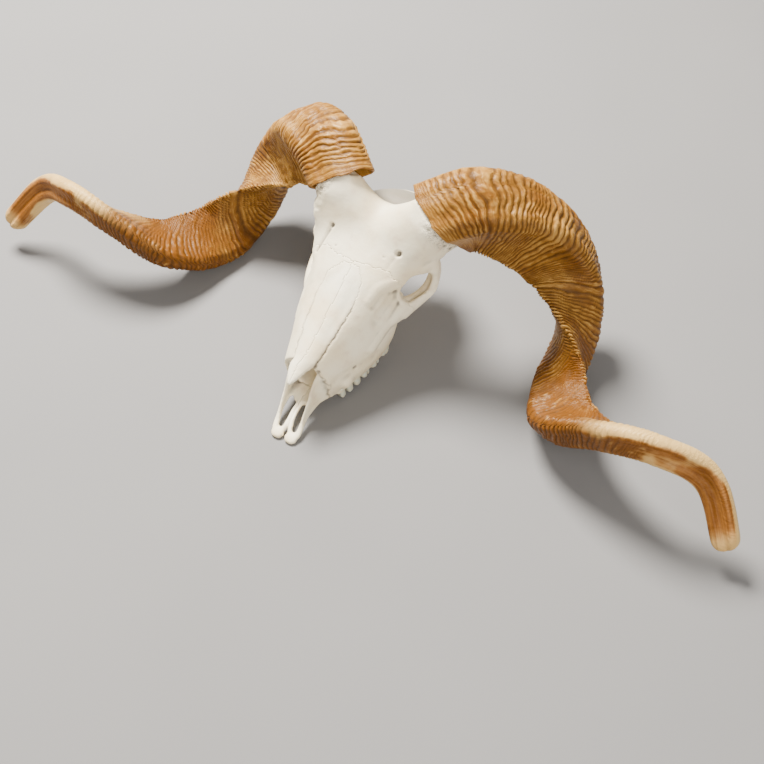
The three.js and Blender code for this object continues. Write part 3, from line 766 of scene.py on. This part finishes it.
def orbit_rim():
    """Bony ring of the eye: an oval section carried round a circle, broader below and outside."""
    turn = np.linspace(0, 2 * math.pi, 72, endpoint=False)
    level = unit(np.cross([0.0, 0, 1], ORBIT_NORMAL))
    rise = np.cross(ORBIT_NORMAL, level)
    out = level * np.cos(turn)[:, None] + rise * np.sin(turn)[:, None]
    low = 0.5 - 0.5 * np.sin(turn)
    outer = 0.5 + 0.5 * np.cos(turn + 0.5)
    thick = 2.3 + 0.6 * low
    wide = 3.4 + 1.6 * low + 4.4 * outer
    round_ = np.linspace(0, 2 * math.pi, 14, endpoint=False)
    ring_radius = ORBIT_RADIUS + 2.6 + 0.6 * low
    middle = ORBIT_CENTRE + out * ring_radius[:, None] - ORBIT_NORMAL * (wide * 0.8)[:, None]
    section = (out[:, None] * (np.cos(round_)[None, :, None] * thick[:, None, None])
               + ORBIT_NORMAL * (np.sin(round_)[None, :, None] * wide[:, None, None]))
    grid = middle[:, None] + section
    points = grid.reshape(-1, 3)
    quads = grid_faces(*grid.shape[:2], endless=True)
    first = points[quads[0]]
    facing = np.cross(first[1] - first[0], first[2] - first[0]) @ (first[0] - middle[0])
    if facing < 0:
        quads = quads[:, ::-1]
    return points, quads.tolist()


def drum(radius_in, radius_out, low, high, axis):
    """Round body along an axis through the eye socket."""
    other = unit(np.cross(axis, [0.0, 0, 1]))
    third = np.cross(axis, other)
    angle = np.linspace(0, 2 * math.pi, 40, endpoint=False)
    ring = other * np.cos(angle)[:, None] + third * np.sin(angle)[:, None]
    t = np.linspace(0, 1, 8)
    radius = radius_in + (radius_out - radius_in) * t
    along = low + (high - low) * t
    return closed_tube(ORBIT_CENTRE + ring[None] * radius[:, None, None] + axis * along[:, None, None])


def nasal_roof():
    """Vaulted plate of the nose: half width, top and side drop along the nose, 3 mm thick."""
    t = np.linspace(0, 1, 50)
    y, width, top, drop = spline(np.array(NASAL, float), t).T
    x = np.linspace(-1, 1, 17)
    upper = np.stack([x * width[:, None], y[:, None] + 0 * x, top[:, None] - drop[:, None] * abs(x) ** 2.2],
                     axis=-1)
    lower = upper[:, ::-1] - [0, 0, 3.2]
    return closed_tube(np.concatenate([upper, lower], axis=1))


def nasal_half_width(y):
    row = np.array(NASAL, float)
    return np.interp(y, row[:, 0], row[:, 1], left=0, right=0)


def pedicle():
    """Spread of the forehead up to the rim of the left horn sheath."""
    around = Around(every=4)
    u = np.full((1, around.count), 0.02)
    offset, _ = section_point(u, around)
    centre, ahead, front, across, _, _ = horn_frame(u)
    forward = np.where(offset[..., 1:] < 0, CORE_REAR * offset[..., 1:], offset[..., 1:])
    share = np.where(offset[..., :1] > 0, CORE_OUTER, CORE_INNER)
    aside = share * offset[..., :1]
    ring = (centre + (across * aside + front * forward) * 0.95)[0]
    ahead = ahead[0]
    away = (ring - SHEATH_POINT) @ SHEATH_NORMAL + 0.4
    ring = ring - ahead * (away / (ahead @ SHEATH_NORMAL))[:, None]
    return hull([*ring, *np.array(PEDICLE_FOOT, float)]), ring


def horn_core(ring):
    """Bony core that stands inside the sheath."""
    _, ahead, _, _, _, _ = horn_frame(np.array([0.05]))
    middle = ring.mean(0)
    steps = [(0.93, -14), (0.93, 0), (0.9, 6), (0.8, 13)]
    return closed_tube(np.array([middle + (ring - middle) * k + ahead[0] * d for k, d in steps]))


def premaxilla_bars():
    """Forked front jaw bone of one side: inner and outer bar around the slit, knob and wing."""
    inner = bar([(2.4, -100, 2, 2, 2.2), (2.1, -118, 1.6, 1.7, 2), (1.9, -134, 1.4, 1.6, 1.9),
                 (2.4, -146, 1.2, 2, 1.9), (4.6, -155, 0.8, 3, 2), (7, -160, 0.6, 3, 2.2)])
    outer = bar([(17, -100, 2, 3, 3.2), (13.8, -115, 1.8, 2.6, 3), (12.8, -128, 1.6, 2.3, 2.6),
                 (12.4, -140, 1.4, 2.3, 2.3), (12, -150, 1.1, 3, 2.2), (9.4, -159, 0.7, 3.2, 2.2)])
    knob = ball((7.1, -156.5, 0.6), (6.7, 6.2, 2.8))
    rows = [(-148, 12.4, 1.2, 2.5), (-138, 12.6, 1.2, 6), (-126, 13.2, 1.2, 13),
            (-114, 14.6, 1.3, 26), (-102, 17.6, 1.6, 40)]
    t = np.linspace(0, 1, 24)
    y, x, half, rise = spline(np.array(rows, float), t).T
    levels = np.linspace(0, 1, 7)
    z = levels[None] * (rise[:, None] + 1) - 0.6
    inward = x[:, None] - 0.12 * rise[:, None] * levels[None] ** 1.5
    out_side = np.stack([inward + half[:, None], y[:, None] + 0 * z, z], axis=-1)
    in_side = np.stack([inward - half[:, None], y[:, None] + 0 * z, z], axis=-1)[:, ::-1]
    wing = closed_tube(np.concatenate([out_side, in_side], axis=1))
    return [inner, outer, knob, wing]


def core_bodies():
    """What the hollows are cut from: face, braincase, forehead, nose, pedicles and knobs."""
    root = bar([(34, -34, 36, 5, 8), (41, -24, 38, 6, 8), (46, -14, 40, 6, 8), (50, -6, 42, 4, 6)])
    spread, ring = pedicle()
    lump = ball((27, -86, 9), (4.8, 7.5, 7))
    condyle = ball((12.5, 98, 23), (7.5, 9, 8))
    bulla = ball((21, 72, 12), (7, 10, 9))
    temple = ball((38, 62, 38), (10, 12, 9))
    process = bar([(27, 84, 30, 3, 6), (28, 86, 14, 2.4, 5), (27, 86, -2, 1.5, 3)], up=(0, 1, 0))
    alveoli = bar([(20, -96, -1, 3.6, 4), (23, -80, -2, 4.4, 4.5), (27, -55, -3, 5.4, 4.5),
                   (28, -30, -3, 6, 4.5), (26, -18, -2, 5, 4.5)])
    bodies = [cross_loft(FACE), cross_loft(BRAINCASE), cross_loft(BROW), nasal_roof(),
              cross_loft(NOSE_FLOOR, count=24)]
    return bodies + both(root, spread, horn_core(ring), lump, condyle, bulla, temple, process,
                         alveoli, *premaxilla_bars())


def hollow_bodies():
    """Eye sockets with their open floors, the nose, the great hole and the throat opening."""
    socket = [drum(ORBIT_RADIUS - 4, ORBIT_RADIUS, -30, 2, ORBIT_NORMAL),
              drum(ORBIT_RADIUS, ORBIT_RADIUS, 1, 40, ORBIT_NORMAL),
              drum(ORBIT_RADIUS - 3, ORBIT_RADIUS + 1, -3, 70, ORBIT_DRAIN)]
    magnum = bar([(0, 112, 26, 8, 7), (0, 98, 27, 8, 7), (0, 84, 30, 6, 5)])
    choana = bar([(0, -6, 2, 9, 7), (0, 10, 4, 9, 8), (0, 30, 2, 7, 6)])
    return [*both(*socket), cross_loft(NOSE_HOLLOW, count=36), magnum, choana]


def eye_frame():
    """Ring of the eye, the bar behind it and the cheek arch, which stand round the hollow."""
    arch = bar([(47, -16, 38, 5, 7), (52, -4, 39, 4, 6), (56, 8, 40, 3, 5), (57, 20, 39, 2.8, 4),
                (54, 33, 37, 2.6, 4), (47, 48, 36, 2.6, 5), (32, 62, 38, 4, 5)])
    post = bar([(58, 16, 42, 3.6, 2.8), (60, 22, 56, 4, 2.8), (59, 25, 70, 5.5, 3.6),
                (53, 27, 84, 8, 4)], up=(1, 0, 0))
    return both(orbit_rim(), arch, post)


def fused_head():
    """The bodies melted into one skin of small quads, with the hollows cut out of it."""
    head = link("head_work", mesh_of("head_work", core_bodies()))
    melt(head)
    head = link("head_cut", finished_mesh(head))
    tool = link("hollow_work", mesh_of("hollow_work", hollow_bodies()))
    melt(tool, 1.6)
    tool = link("hollow_tool", finished_mesh(tool))
    cut = head.modifiers.new("hollows", "BOOLEAN")
    cut.operation = "DIFFERENCE"
    cut.solver = "EXACT"
    cut.object = tool
    work = bmesh.new()
    work.from_mesh(finished_mesh(head))
    work.from_mesh(mesh_of("eye_frame", eye_frame()))
    bpy.data.objects.remove(tool)
    whole = bpy.data.meshes.new("head_whole")
    work.to_mesh(whole)
    work.free()
    head = link("head_whole", whole)
    melt(head)
    mesh = finished_mesh(head)
    points = np.empty(len(mesh.vertices) * 3)
    mesh.vertices.foreach_get("co", points)
    corners = np.empty(len(mesh.loops), np.int32)
    mesh.loops.foreach_get("vertex_index", corners)
    return points.reshape(-1, 3), corners.reshape(-1, 4)


def melt(thing, size=VOXEL):
    remesh = thing.modifiers.new("melt", "REMESH")
    remesh.mode = "VOXEL"
    remesh.voxel_size = size


class Skin:
    """Points and quads of a closed skin, with what its neighbours say."""

    def __init__(self, points, quads):
        self.points = points
        self.quads = quads
        pairs = np.concatenate([quads[:, [k, (k + 1) % 4]] for k in range(4)])
        pairs = np.unique(np.sort(pairs, axis=1), axis=0)
        self.a = np.concatenate([pairs[:, 0], pairs[:, 1]])
        self.b = np.concatenate([pairs[:, 1], pairs[:, 0]])
        self.degree = np.maximum(np.bincount(self.a, minlength=len(points)), 1)

    def mean(self, values):
        """Mean of each point's neighbours."""
        if values.ndim == 1:
            return np.bincount(self.a, values[self.b], len(self.points)) / self.degree
        return np.stack([self.mean(values[:, k]) for k in range(values.shape[1])], axis=1)

    def relax(self, rounds, share=0.5, back=-0.52, mask=1.0):
        """Smooths without shrinking: a step towards the neighbours' mean, then one away."""
        mask = np.asarray(mask, float)
        mask = mask[:, None] if mask.ndim else mask
        for _ in range(rounds):
            for amount in (share, back)[: 2 if back else 1]:
                self.points = self.points + amount * mask * (self.mean(self.points) - self.points)

    def normals(self):
        a, b, c, d = (self.points[self.quads[:, k]] for k in range(4))
        face = np.cross(c - a, d - b)
        total = np.zeros_like(self.points)
        for k in range(4):
            for axis in range(3):
                total[:, axis] += np.bincount(self.quads[:, k], face[:, axis], len(self.points))
        return unit(total)

    def spread(self, values, rounds):
        for _ in range(rounds):
            values = 0.5 * values + 0.5 * self.mean(values)
        return values


BONES = ("cranium", "maxilla_left", "maxilla_right", "nasal_left", "nasal_right",
         "premaxilla_left", "premaxilla_right", "zygomatic_left", "zygomatic_right")


def bone_of(p):
    """Number of the bone that each place belongs to, with wandering sutures."""
    wander = 1.6 * rough(p, 7, 71) + 0.8 * grain(p, 2.5, 75)
    x, y, z = p[:, 0], p[:, 1], p[:, 2]
    side = (x < 0.25 * wander).astype(int)
    width = nasal_half_width(y)
    top = np.interp(y, [row[0] for row in NASAL], [row[2] for row in NASAL])
    nasal = (abs(x) < width + 0.7 * wander + 0.6) & (z > top - 9) & (y < -14)
    premaxilla = (y < -104 + 1.5 * wander) & ~nasal & (z < 44)
    front_edge = -7 - 5 * np.clip(1 - abs(x) / 24, 0, 1) * (z > 60) + 1.5 * wander
    cheek = (abs(x) > 39.5) & (z < 62 + wander) & (y > -8 + wander) & (y < 44)
    number = np.where(y > front_edge, 0, 1 + side)
    number = np.where(cheek, 7 + side, number)
    number = np.where(nasal, 3 + side, number)
    return np.where(premaxilla, 5 + side, number)


def seam_strength(p):
    """How open each seam is: wide beside the tip of the nose, nearly closed on the forehead."""
    x, y, z = np.abs(p[:, 0]), p[:, 1], p[:, 2]
    nose_side = (x > 4) * step(z, 36, 42) * (1 - step(y, -58, -34)) * step(y, -112, -106)
    nose_side = nose_side * np.where(p[:, 0] < 0, 0.4, 1)
    jaw = (1 - step(y, -100, -94)) * (1 - step(z, 34, 42))
    middle = 1 - step(x, 2, 4)
    faint = 0.02 + 0.06 * step(-y, 20, 40)
    return np.clip(faint + 0.85 * nose_side + 0.3 * jaw * (1 - middle), 0, 1)


def on_top(points, place):
    """(x, y, z) as it is; (x, y) gets the height of the head there."""
    if len(place) == 3:
        return np.array(place, float)
    near = np.linalg.norm(points[:, :2] - np.array(place, float), axis=1) < 1.5
    return np.append(place, points[near, 2].max())


def dent(points, normals, place, size, depth):
    """Round pit: full depth at the place, none past its size."""
    far = np.linalg.norm(points - on_top(points, place), axis=1) / size
    return points - normals * (depth * (1 - step(far, 0.35, 1.0)))[:, None]


def groove_along(points, normals, line, size, depth):
    """Furrow along a line of places."""
    line = spline(np.array([on_top(points, place) for place in line]), np.linspace(0, 1, 40))
    near = np.min([np.linalg.norm(points - q, axis=1) for q in line], axis=0) / size
    return points - normals * (depth * (1 - step(near, 0.2, 1.0)))[:, None]


def either_side(line, size, depth):
    """A furrow and its mirror image."""
    return [(line, size, depth), ([(-x, *rest) for x, *rest in line], size, depth)]


PITS = [  # nerve and blood openings: centre, size, depth
    ((33.8, 8.2), 3.8, 4.0), ((-31.6, 9.5), 2.8, 3.5),
    ((31, -76, 21), 3.4, 2.6), ((-31, -76, 21), 3.4, 2.6),
    ((23, 2), 1.5, 0.8), ((-20, -4), 1.5, 0.8),
]
FURROWS = [  # vessel furrows and, with a depth below zero, ridges: line, size, depth
    ([(-31.6, 9), (-33, 3), (-35, -4), (-37, -11)], 3.0, 1.1),
    ([(33, 7), (31, 1), (30, -5)], 2.4, 0.3),
    *either_side([(46, -12, 46), (43, -26, 41), (40, -42, 36), (38, -56, 30)], 7.0, -1.6),
    ([(39, -12), (34, -17), (30, -24), (28, -34)], 6.5, -0.7), ([(39, -19), (35, -26), (32, -36)], 5.0, 0.8),
    ([(-39, -12), (-34, -17), (-30, -24), (-28, -34)], 6.5, -0.5),
    *either_side([(40, -14, 62), (38, -26, 57), (35, -40, 51)], 9.0, 1.7),
    *either_side([(27, -98, 24), (31, -76, 20), (35, -58, 16)], 9.0, 1.1),
]


def rim_distance(p):
    """Distance of each place from the plane of the nearer sheath's rim."""
    mirrored = np.abs(p) * [1, 0, 0] + p * [0, 1, 1]
    return np.abs((mirrored - SHEATH_POINT) @ SHEATH_NORMAL)


def smooth_roof(skin, rim):
    """Takes the steps between the melted bodies out of the forehead, then smooths all but the nose tips."""
    p = skin.points
    roof = step(p[:, 1], -30, -6) * step(p[:, 2], 68, 82) * (1 - step(np.abs(p[:, 0]), 44, 56))
    roof *= 1 - 0.8 * step(p[:, 1], 46, 54) * (1 - step(p[:, 2], 103, 109))
    skin.relax(220, share=0.5, back=0.0, mask=roof * step(rim, 2, 10))
    skin.relax(14, mask=step(p[:, 1], -100, -90))


def suture_marks(skin):
    """1 on an open seam between two bones, 0 away from it."""
    number = bone_of(skin.points)
    own = np.stack([(number == k).astype(float) for k in range(len(BONES))], axis=1)
    same = (own * skin.mean(own)).sum(1)
    return np.clip(3.2 * (1 - skin.spread(same, 1)), 0, 1) * seam_strength(skin.points)


def surface_wear(p, collar):
    """Height of gentle swellings, of the rough collar below the horn and of a chipped brow, mm."""
    chipped = step(-p[:, 0], 46, 54) * step(p[:, 2], 55, 66) * (1 - step(p[:, 1], 22, 34))
    swell = 0.3 * rough(p, 18, 3) + 0.12 * rough(p, 5, 6)
    worn = collar * (2.2 * rough(p, 4.5, 8) - 0.8) + chipped * 2.4 * rough(p, 8, 12)
    return swell + worn


def shade_marks(skin, p):
    """Where painted shade goes: in hollows, and behind the forehead at the nape, whose slope faces away from
    the light.
    """
    soft = skin.spread(skin.points, 10)
    hollow = np.clip(((soft - skin.points) * skin.normals()).sum(1) / 0.7, 0, 1)
    # Painted shade on the parietal slope behind the forehead.
    nape = step(p[:, 1], 53, 58) * step(p[:, 2], 60, 72) * (1 - step(p[:, 2], 95, 99))
    return np.clip(hollow + nape, 0, 1)


def make_bones(settings):
    """Melts the head, carves its fine relief, and parts it along the sutures into bones."""
    skin = Skin(*fused_head())
    skin.relax(10)
    rim = rim_distance(skin.points)
    smooth_roof(skin, rim)
    n = skin.normals()
    suture = suture_marks(skin)
    depth = settings.suture_depth / MM
    p = skin.points - n * (suture * depth)[:, None]
    collar = (1 - step(rim, 5, 14)) * step(p[:, 2], 70, 82) * step(np.abs(p[:, 0]), 40, 62)
    p = p + n * surface_wear(p, collar)[:, None]
    for centre, size, deep in PITS:
        p = dent(p, n, centre, size, deep)
    for line, size, deep in FURROWS:
        p = groove_along(p, n, line, size, deep)
    skin.points = p
    skin.relax(1)
    # hollow marks where painted shade goes: hollows and the nape.
    fields = {"suture": suture, "hollow": shade_marks(skin, p), "porous": np.clip(collar * 1.4, 0, 1)}
    placed = to_floor(lean(skin.points))
    owner = bone_of(p[skin.quads].mean(axis=1))
    tints = {"nasal": settings.pale, "premaxilla": settings.pale}
    for k, bone in enumerate(BONES):
        kind = bone.split("_")[0]
        material = bone_paint(settings, f"bone_{bone}", tints.get(kind, settings.ivory))
        make_bone(bone, placed, skin.quads[owner == k], fields, material)


def make_bone(name, points, quads, fields, material):
    """One bone's share of the skin, given a thin wall inwards so that it is closed."""
    used = np.unique(quads)
    lookup = np.full(len(points), -1)
    lookup[used] = np.arange(len(used))
    mesh = bpy.data.meshes.new(name)
    mesh.from_pydata(points[used].tolist(), [], lookup[quads].tolist())
    for key, values in fields.items():
        attribute(mesh, key, values[used])
    made = piece(f"bone_{name}", mesh, material, [name])
    wall = made.modifiers.new("wall", "SOLIDIFY")
    wall.thickness = SHELL * MM
    wall.offset = -1


TEETH = ((8, 1), (9, 1), (10, 1), (13, 2), (15, 2), (16, 3))  # length along the row, lobes
TOOTH_ROW_FRONT = -95.0
CHEWING_LEVEL = -12.2


def blunt(wave):
    """Sine or cosine of a circle, pressed towards a square."""
    return np.sign(wave) * np.abs(wave) ** 0.8


def tooth(i, front, length, lobes):
    """Lobed outline carried down to a ridged chewing edge, and how deep in a fold each point is."""
    middle = front + length / 2
    x = 21.2 + 7.5 * (i / 5) ** 0.8
    wide = 3.4 + 0.7 * i
    angle = np.linspace(0, 2 * math.pi, 48, endpoint=False)
    fold = np.abs(np.sin(lobes * math.pi * (0.5 + 0.5 * np.sin(angle))))
    fold = 1 - (1 - fold) ** 3
    level = np.linspace(0, 1, 14)[:, None]
    taper = 1 - 0.1 * level**2
    across = blunt(np.cos(angle)) * wide * (0.86 + 0.14 * fold)
    along = blunt(np.sin(angle)) * (length / 2 - 0.1)
    foot = CHEWING_LEVEL - 0.2 * i - 1.0 * fold * (0.5 + 0.5 * np.cos(angle))
    foot = foot + 2.2 * (0.5 - 0.5 * np.cos(angle))
    z = 2 + (foot - 2) * level
    grid = np.stack([x + across * taper, middle + along * taper, z + 0 * angle], axis=-1)
    crown = grid[-1] * [0.45, 0.55, 1] + [0.55 * x, 0.45 * middle, 1.4]
    groove = np.concatenate([((1 - fold) * 0.9 + 0 * level).ravel(), np.ones(50)])
    return closed_tube(np.concatenate([grid, crown[None]])), groove


def make_teeth(settings):
    """The two rows of cheek teeth, from front to back."""
    material = tooth_paint(settings)
    fronts = TOOTH_ROW_FRONT + np.cumsum([0, *(length for length, _ in TEETH[:-1])])
    made = [tooth(i, fronts[i], *size) for i, size in enumerate(TEETH)]
    for side, sign in SIDES:
        bodies = [body if sign > 0 else mirror(body) for body, _ in made]
        mesh = mesh_of(f"teeth_{side}", [(to_floor(lean(points)), faces) for points, faces in bodies])
        attribute(mesh, "groove", np.concatenate([groove for _, groove in made]))
        piece(f"teeth_{side}", mesh, material, [])


# ------------------------------------------------------------------------------ stage

CAMERA_AT = Vector((0.41592, -0.65865, 0.85913))
CAMERA_AIM = Vector((0.04072, -0.03413, 0.0))
CAMERA_ROLL = math.radians(-0.3)
CAMERA_LENS = 56.54
FLOOR_HALF = 4.0


def area_light(name, place, aim, size, power, colour):
    data = bpy.data.lights.new(name, "AREA")
    data.shape = "DISK"
    data.size = size
    data.energy = power
    data.color = colour
    lamp = bpy.data.objects.new(name, data)
    lamp.location = place
    lamp.rotation_mode = "QUATERNION"
    lamp.rotation_quaternion = (Vector(aim) - Vector(place)).to_track_quat("-Z", "Y")
    bpy.context.scene.collection.objects.link(lamp)


def make_stage(settings):
    """Pale floor, soft studio light and the camera."""
    h = FLOOR_HALF
    corners = [(-h, -h, 0), (h, -h, 0), (h, h, 0), (-h, h, 0)]
    mesh = bpy.data.meshes.new("floor")
    mesh.from_pydata(corners, [], [(0, 1, 2, 3)])
    mesh.materials.append(floor_paint(settings))
    link("floor", mesh)
    world = bpy.data.worlds.new("soft_room")
    world.use_nodes = True
    world.node_tree.nodes["Background"].inputs["Color"].default_value = (1.0, 0.985, 0.96, 1.0)
    world.node_tree.nodes["Background"].inputs["Strength"].default_value = 0.24 * settings.light
    bpy.context.scene.world = world
    area_light("key", (-0.9, 0.5, 1.7), (0, 0, 0.05), 0.8, 106 * settings.light, (1.0, 0.97, 0.92))
    area_light("fill", (1.3, -1.2, 1.3), (0.1, 0, 0.05), 1.6, 19 * settings.light, (1.0, 0.98, 0.96))
    data = bpy.data.cameras.new("camera")
    data.lens = CAMERA_LENS
    data.sensor_width = 36
    data.clip_start, data.clip_end = 0.01, 50
    camera = bpy.data.objects.new("camera", data)
    camera.location = CAMERA_AT
    camera.rotation_mode = "QUATERNION"
    aim = (CAMERA_AIM - CAMERA_AT).to_track_quat("-Z", "Y")
    camera.rotation_quaternion = aim @ Quaternion((0, 0, 1), CAMERA_ROLL)
    bpy.context.scene.collection.objects.link(camera)
    bpy.context.scene.camera = camera


# ----------------------------------------------------------------------------- add-on


def tone(code):
    """Colour from its screen code, as linear red, green, blue and 1."""
    parts = [int(code[k : k + 2], 16) / 255 for k in (0, 2, 4)]
    linear = [c / 12.92 if c <= 0.04045 else ((c + 0.055) / 1.055) ** 2.4 for c in parts]
    return (*linear, 1.0)


def colour_choice(name, description, code):
    return FloatVectorProperty(name=name, description=description, subtype="COLOR", size=4,
                               min=0, max=1, default=tone(code))


class HornSettings(bpy.types.PropertyGroup):
    """Sizes and colours of the horn sheaths."""

    ridge_spacing: FloatProperty(name="Ridge spacing", description="Distance between growth ridges",
                                 default=0.0046, unit="LENGTH")
    ridge_depth: FloatProperty(name="Ridge depth", description="Height of a ridge over its valley",
                               default=0.002, unit="LENGTH")
    # Painted highlight: pale colour of the ridge tops, partly their worn paleness and partly the glints of
    # light on them.
    crest: colour_choice("Crest", "Pale worn tops of the ridges", "c69850")
    honey: colour_choice("Honey", "Lighter body colour", "956829")
    amber: colour_choice("Amber", "Darker body colour", "6f4213")
    # Painted shade: dark colour in the grooves between the ridges.
    valley: colour_choice("Valley", "Between the ridges", "4c2e0d")
    tip: colour_choice("Tip", "Cream worn tip", "d2ad6b")
    peach: colour_choice("Peach", "Hollow face of the tip", "a96f33")
    streak: colour_choice("Streak", "Brown streaks of the tip", "6d3f11")


class BoneSettings(bpy.types.PropertyGroup):
    """Sizes and colours of the bones and teeth."""

    suture_depth: FloatProperty(name="Suture depth", description="Depth of the seams between bones",
                                default=0.0006, unit="LENGTH")
    ivory: colour_choice("Ivory", "Bleached bone", "fff2d2")
    pale: colour_choice("Pale", "Bones of the nose", "fff5d8")
    cream: colour_choice("Cream", "Warmer areas", "f5e2b8")
    rose: colour_choice("Rose", "Faint rosy areas", "ddc3ae")
    # Painted shade in hollows and at the nape; also the dark of the pores.
    dust_and_shade: colour_choice("Dust", "In hollows and pores", "776f62")
    suture: colour_choice("Suture", "Dark line of a seam", "5d4e3d")
    enamel: colour_choice("Enamel", "Cheek teeth", "dfe2cc")


class StageSettings(bpy.types.PropertyGroup):
    """Floor and light."""

    floor: colour_choice("Floor", "Pale floor", "807e7c")
    light: FloatProperty(name="Light", description="Strength of all lights", default=1.85, min=0)


class SkullBonesOperator(bpy.types.Operator):
    """Make the bones of the head"""

    bl_idname = "skull.bones"
    bl_label = "Bones"

    def execute(self, context):
        make_bones(context.scene.skull_bones)
        return {"FINISHED"}


class SkullTeethOperator(bpy.types.Operator):
    """Make the two rows of cheek teeth"""

    bl_idname = "skull.teeth"
    bl_label = "Teeth"

    def execute(self, context):
        make_teeth(context.scene.skull_bones)
        return {"FINISHED"}


class SkullHornsOperator(bpy.types.Operator):
    """Make the two horn sheaths"""

    bl_idname = "skull.horns"
    bl_label = "Horns"

    def execute(self, context):
        make_horns(context.scene.skull_horns)
        return {"FINISHED"}


class SkullStageOperator(bpy.types.Operator):
    """Make the floor, the lights and the camera"""

    bl_idname = "skull.stage"
    bl_label = "Stage"

    def execute(self, context):
        make_stage(context.scene.skull_stage)
        return {"FINISHED"}


class SkullPanel(bpy.types.Panel):
    """Steps of the skull, in order"""

    bl_idname = "VIEW3D_PT_skull"
    bl_label = "Ram skull"
    bl_space_type = "VIEW_3D"
    bl_region_type = "UI"
    bl_category = "Skull"

    def draw(self, context):
        for name in ("skull.bones", "skull.teeth", "skull.horns", "skull.stage"):
            self.layout.operator(name)


SETTINGS = (("skull_horns", HornSettings), ("skull_bones", BoneSettings), ("skull_stage", StageSettings))
PARTS = (SkullBonesOperator, SkullTeethOperator, SkullHornsOperator, SkullStageOperator, SkullPanel)


def register():
    for name, group in SETTINGS:
        bpy.utils.register_class(group)
        setattr(bpy.types.Scene, name, PointerProperty(type=group))
    for part in PARTS:
        bpy.utils.register_class(part)


def unregister():
    for part in reversed(PARTS):
        bpy.utils.unregister_class(part)
    for name, group in SETTINGS:
        delattr(bpy.types.Scene, name)
        bpy.utils.unregister_class(group)


def main():
    register()
    for made in (bpy.ops.skull.bones(), bpy.ops.skull.teeth(), bpy.ops.skull.horns(),
                 bpy.ops.skull.stage()):
        if made != {"FINISHED"}:
            raise RuntimeError("a piece of the skull was not made")


if __name__ == "__main__":
    main()
